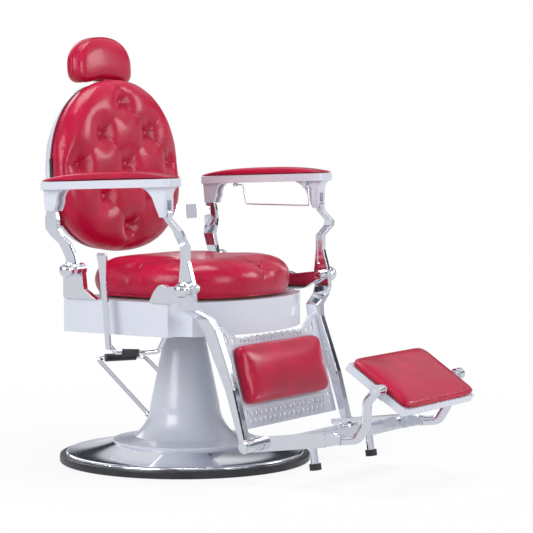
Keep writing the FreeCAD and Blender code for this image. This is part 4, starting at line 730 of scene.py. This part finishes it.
for hand, sign in (("right", -1), ("left", 1)):
    rings = []
    for step in range(ARM_ROWS + 1):
        lean = math.cos(math.pi * step / ARM_ROWS)
        y = (ARM_FRONT + ARM_REAR) / 2 - lean * (ARM_REAR - ARM_FRONT - 0.0008) / 2
        tall = 0.0035 + 0.0165 * (1 - abs(lean) ** 3)
        wide = max(arm_edge(y), 0.002)
        ring = []
        for i in range(ARM_AROUND):
            angle = 2 * math.pi * i / ARM_AROUND
            x = wide * math.copysign(abs(math.cos(angle)) ** 0.55, math.cos(angle))
            rise = math.copysign(abs(math.sin(angle)) ** 0.75, math.sin(angle))
            z = arm_base(y) + tall * (0.35 + rise * (0.65 if rise > 0 else 0.35))
            ring.append(Vector((sign * ARM_ASIDE + x, y, z)))
        rings.append(ring)
    arm_leather = stuffed("arm_leather_" + hand, rings, "arm_" + hand)
    inflate(arm_leather, 0.0036, lambda p: 1.0 if p.z < arm_base(p.y) + 0.003 else 0.0,
            slack=0.0, pressure=3.0, reach=0.002)
    line = [ARM_FRONT + 0.002 + (ARM_REAR - ARM_FRONT - 0.004) * k / EDGE_STEPS
            for k in range(EDGE_STEPS + 1)]
    seam = [(sign * ARM_ASIDE + arm_edge(y), y, arm_base(y) + 0.0028) for y in line]
    seam += [(sign * ARM_ASIDE - arm_edge(y), y, arm_base(y) + 0.0028) for y in reversed(line)]
    welt("arm_welt_" + hand, on_surface(arm_leather, seam), 0.0015, "arm_" + hand)
    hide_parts("arm_pad_" + hand)

# Towel rail: one bent chromed wire, hooked into two lugs under the left armrest so that it
# swings out.
dress(chrome, "towel_rail")

# Legs: two polished and chromed castings that hang from the front bolts and from pins under the
# forks of the armrests; the foot frame turns on pins at their lower ends.
dress(chrome, "leg_casting_right", "leg_casting_left", "foot_pivot_pins")

# Leg panel: a thin enamelled casting between the legs, pierced all round the calf pad in a
# common leaf-and-scroll pattern. Its upper edge dips in the middle and is scalloped.
panel_at = tilted(-0.262, 0.387, -14.7)
lace = bpy.data.curves.new("leg_panel_curve", "CURVE")
lace.dimensions = "2D"
lace.fill_mode = "BOTH"
lace.extrude = 0.0014
lace.bevel_depth = 0.0009
lace.bevel_resolution = 2


def outline(points):
    """A closed line of the panel: its rim, or an opening."""
    run(lace, "POLY", [(x, z, 0) for x, z in points])


def panel_edge(x):
    """The height of the panel's upper edge."""
    up = min(max((abs(x) - 0.1415) / 0.0763, 0), 1)
    scallop = 0.0022 * math.cos(2 * math.pi * x / 0.0283) - 0.0024
    return -0.0362 * (1 - up * up * (3 - 2 * up)) + scallop


def leaf(x, z, length, width, degrees, bend):
    """A curved teardrop opening that points along its heading."""
    heading = math.radians(degrees)
    points = []
    for i in range(22):
        t = 2 * math.pi * i / 22
        along = -math.cos(t) * length / 2
        across = math.sin(t) * width / 2 * (0.35 + 0.65 * (0.5 - along / length))
        across += bend * (1 - (2 * along / length) ** 2)
        points.append((x + along * math.cos(heading) - across * math.sin(heading),
                       z + along * math.sin(heading) + across * math.cos(heading)))
    outline(points)


def eyelet(x, z, radius):
    """A small round opening."""
    outline([(x + radius * math.cos(math.pi * i / 7), z + radius * math.sin(math.pi * i / 7))
             for i in range(14)])


def swayed(k, degrees):
    """Leans every second leaf of a row the other way."""
    return degrees if k % 2 else -degrees


PANEL_WIDE, PANEL_LONG, PAD_TOP = 0.2316, 0.2658, -0.057
# From one leaf to the next: beside the pad, above it and below it.
SIDE_PITCH, TOP_PITCH, LOW_PITCH = 0.0208, 0.0178, 0.0226
crest = [PANEL_WIDE * (1 - i / 90) for i in range(181)]
outline([(-PANEL_WIDE, -PANEL_LONG), (PANEL_WIDE, -PANEL_LONG)]
        + [(x, panel_edge(x)) for x in crest])
for side in (-1, 1):
    for k in range(9):
        leaf(side * 0.2125, -0.0715 - k * SIDE_PITCH, 0.0178, 0.0150, 90 + swayed(k, 26),
             side * 0.0010)
    leaf(side * 0.1760, -0.0415, 0.0240, 0.0125, 90 - side * 62, side * 0.0012)
    leaf(side * 0.2050, -0.0345, 0.0340, 0.0155, 90 - side * 20, side * 0.0016)
    eyelet(side * 0.2190, -0.0115, 0.0034)
    eyelet(side * 0.2225, -0.0300, 0.0027)
    eyelet(side * 0.1885, -0.0225, 0.0026)
for k in range(-8, 9):
    x = k * TOP_PITCH
    z = (panel_edge(x) + PAD_TOP) / 2
    leaf(x, z, (panel_edge(x) - PAD_TOP) * 0.70, 0.0108, 90 + swayed(k, 24), 0.0006)
for k in range(-8, 9):
    leaf(k * LOW_PITCH, -0.2275, 0.0195, 0.0140, 90 + swayed(k, 20), 0.0012)
    if k < 8:
        leaf((k + 0.5) * LOW_PITCH, -0.2498, 0.0195, 0.0140, swayed(k, 20) - 90, 0.0012)
lace.materials.append(enamel)
pierced = bpy.data.objects.new("leg_panel_curve", lace)
scene.collection.objects.link(pierced)
final = pierced.evaluated_get(bpy.context.evaluated_depsgraph_get())
plate = bpy.data.meshes.new_from_object(final)
bpy.data.objects.remove(pierced)
plate.transform(panel_at @ Matrix.Translation((0, 0.0026, 0))
                @ Matrix.Rotation(math.radians(90), 4, "X"))
leg_filigree = bpy.data.objects.new("leg_filigree", plate)
scene.collection.objects.link(leg_filigree)
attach(leg_filigree, "legs")
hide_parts("leg_panel")

# Panel ribs: the pattern's raised lines, cast in one with the panel: a frame round the pad,
# borders along the legs and scrolls between the leaves.
ribs = bpy.data.curves.new("leg_filigree_ribs", "CURVE")
ribs.dimensions = "3D"
ribs.bevel_depth = 0.0014
ribs.bevel_resolution = 2


def rib(points, closed=False):
    """A raised line of the panel: smooth where it is open, with sharp corners where closed."""
    spline = run(ribs, "POLY" if closed else "NURBS", [(x, 0, z) for x, z in points], closed)
    if not closed:
        spline.use_endpoint_u = True
        spline.order_u = 3


def scroll(x, z, radius, hand):
    """A spiral rib that starts at its eye and opens upwards."""
    points = []
    for i in range(18):
        angle = math.radians(90) + hand * 2 * math.pi * 1.35 * (1 - i / 17)
        reach = radius * (0.18 + 0.82 * i / 17)
        points.append((x + reach * math.cos(angle), z + reach * math.sin(angle)))
    rib(points)


for side in (-1, 1):
    for k in range(8):
        scroll(side * 0.2030, -0.0819 - k * SIDE_PITCH, 0.0052, side)
        scroll(side * 0.2225, -0.0819 - k * SIDE_PITCH, 0.0052, -side)
    rib([(side * 0.2290, -0.006 - k * 0.0323) for k in range(9)])
for k in range(-8, 8):
    x = (k + 0.5) * TOP_PITCH
    scroll(x, panel_edge(x) - 0.0075, 0.0036, swayed(k, 1))
    scroll((k + 0.5) * LOW_PITCH, -0.2330, 0.0050, swayed(k, 1))
rib([(-0.1965, -0.0530), (0.1965, -0.0530), (0.1965, -0.2140), (-0.1965, -0.2140)], closed=True)
rib([(x, panel_edge(x) - 0.0024) for x in crest[6:-6:3]])
ribs.materials.append(enamel)
ribs.transform(panel_at @ Matrix.Translation((0, 0.0004, 0)))
leg_filigree_ribs = bpy.data.objects.new("leg_filigree_ribs", ribs)
scene.collection.objects.link(leg_filigree_ribs)
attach(leg_filigree_ribs, "legs")

# Calf pad: a firm boxed foam pad under crimson hide, screwed to the panel from behind. Its face
# is domed like a pillow, and its edge rolls over to the panel.
CALF_WIDE, CALF_TALL, CALF_MIDDLE, CALF_CORNER = 0.1915, 0.0760, -0.1335, 13


def squared(angle, half_x, half_y, fullness):
    """A point of a rectangle with rounded corners, spaced by angle."""
    scale = (abs(math.cos(angle)) ** fullness + abs(math.sin(angle)) ** fullness) ** (-1 / fullness)
    return half_x * math.cos(angle) * scale, half_y * math.sin(angle) * scale


# From the panel to the face: each ring's depth and its distance inside the pad's outline.
rings = []
for depth, inset in ((-0.0008, 0.07), (-0.0008, 0.03), (-0.0012, 0.004), (-0.005, 0.0005),
                     (-0.012, 0.0), (-0.019, 0.0010), (-0.0245, 0.0045), (-0.0285, 0.0095),
                     (-0.0315, 0.016), (-0.0335, 0.024), (-0.0350, 0.034), (-0.0362, 0.046),
                     (-0.0370, 0.060), (-0.0374, 0.074)):
    ring = around(squared, 120, CALF_WIDE - inset, CALF_TALL - inset, CALF_CORNER)
    rings.append([Vector((x, depth, CALF_MIDDLE + z)) for x, z in ring])
calf_leather = stuffed("calf_leather", rings, "legs")
inflate(calf_leather, 0.0050, lambda p: 1.0 if p.y > -0.016 else 0.0,
        slack=0.0, pressure=1.5, reach=0.0025)
seam = [(x, -0.003, CALF_MIDDLE + z)
        for x, z in around(squared, 120, CALF_WIDE, CALF_TALL, CALF_CORNER)]
seam = [panel_at @ p for p in on_surface(calf_leather, seam, -0.0004)]
welt("calf_welt", seam, 0.0020, "legs")
calf_leather.data.transform(panel_at)
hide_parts("calf_pad")

# Foot frame: chromed side bars on the legs' pins, joined by a cross casting with a bare
# medallion; stub feet with rubber tips let it stand.
dress(chrome, "foot_bars", "foot_crosspiece", "stub_feet")
dress(rubber, "stub_tips")

# Foot arms: two cranked chromed arms that fold on chromed clamps and carry the foot rest. The
# rest turns over on their ends.
dress(chrome, "foot_arm_right", "foot_arm_left", "foot_knuckles")

# Foot rest: an enamelled cast tray, with a thin firm pad let into it. The pad's crimson hide
# has a rolled seam round its upper and its lower edge and falls off softly towards them.
dress(enamel, "foot_tray")
rest_at = tilted(-0.708, 0.253, 33.3)
REST_WIDE, REST_LONG, REST_MIDDLE, REST_CORNER = 0.1745, 0.0940, 0.0170, 14
# From the tray to the face: each ring's height and its distance inside the pad's outline.
rings = []
for rise, inset in ((-0.0034, 0.09), (-0.0034, 0.04), (-0.0034, 0.003), (-0.002, 0.0004),
                    (0.002, 0.0016), (0.006, 0.0002), (0.0078, 0.0016), (0.0100, 0.0050),
                    (0.0122, 0.0100), (0.0140, 0.0165), (0.0152, 0.025), (0.0160, 0.037),
                    (0.0166, 0.053), (0.0170, 0.072), (0.0171, 0.090)):
    ring = around(squared, 120, REST_WIDE - inset, REST_LONG - inset, REST_CORNER)
    rings.append([Vector((x, REST_MIDDLE + y, rise)) for x, y in ring])
foot_leather = stuffed("foot_leather", rings, "foot_rest")
inflate(foot_leather, 0.0040, lambda p: 1.0 if p.z < 0.0110 else 0.0,
        slack=0.0, pressure=1.5, reach=0.0015)
for name, rise in (("foot_welt_upper", 0.0064), ("foot_welt_lower", -0.0016)):
    seam = [(x, REST_MIDDLE + y, rise)
            for x, y in around(squared, 160, REST_WIDE, REST_LONG, REST_CORNER)]
    welt(name, [rest_at @ p for p in on_surface(foot_leather, seam, 0.0004)], 0.0022, "foot_rest")
foot_leather.data.transform(rest_at)
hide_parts("foot_pad")
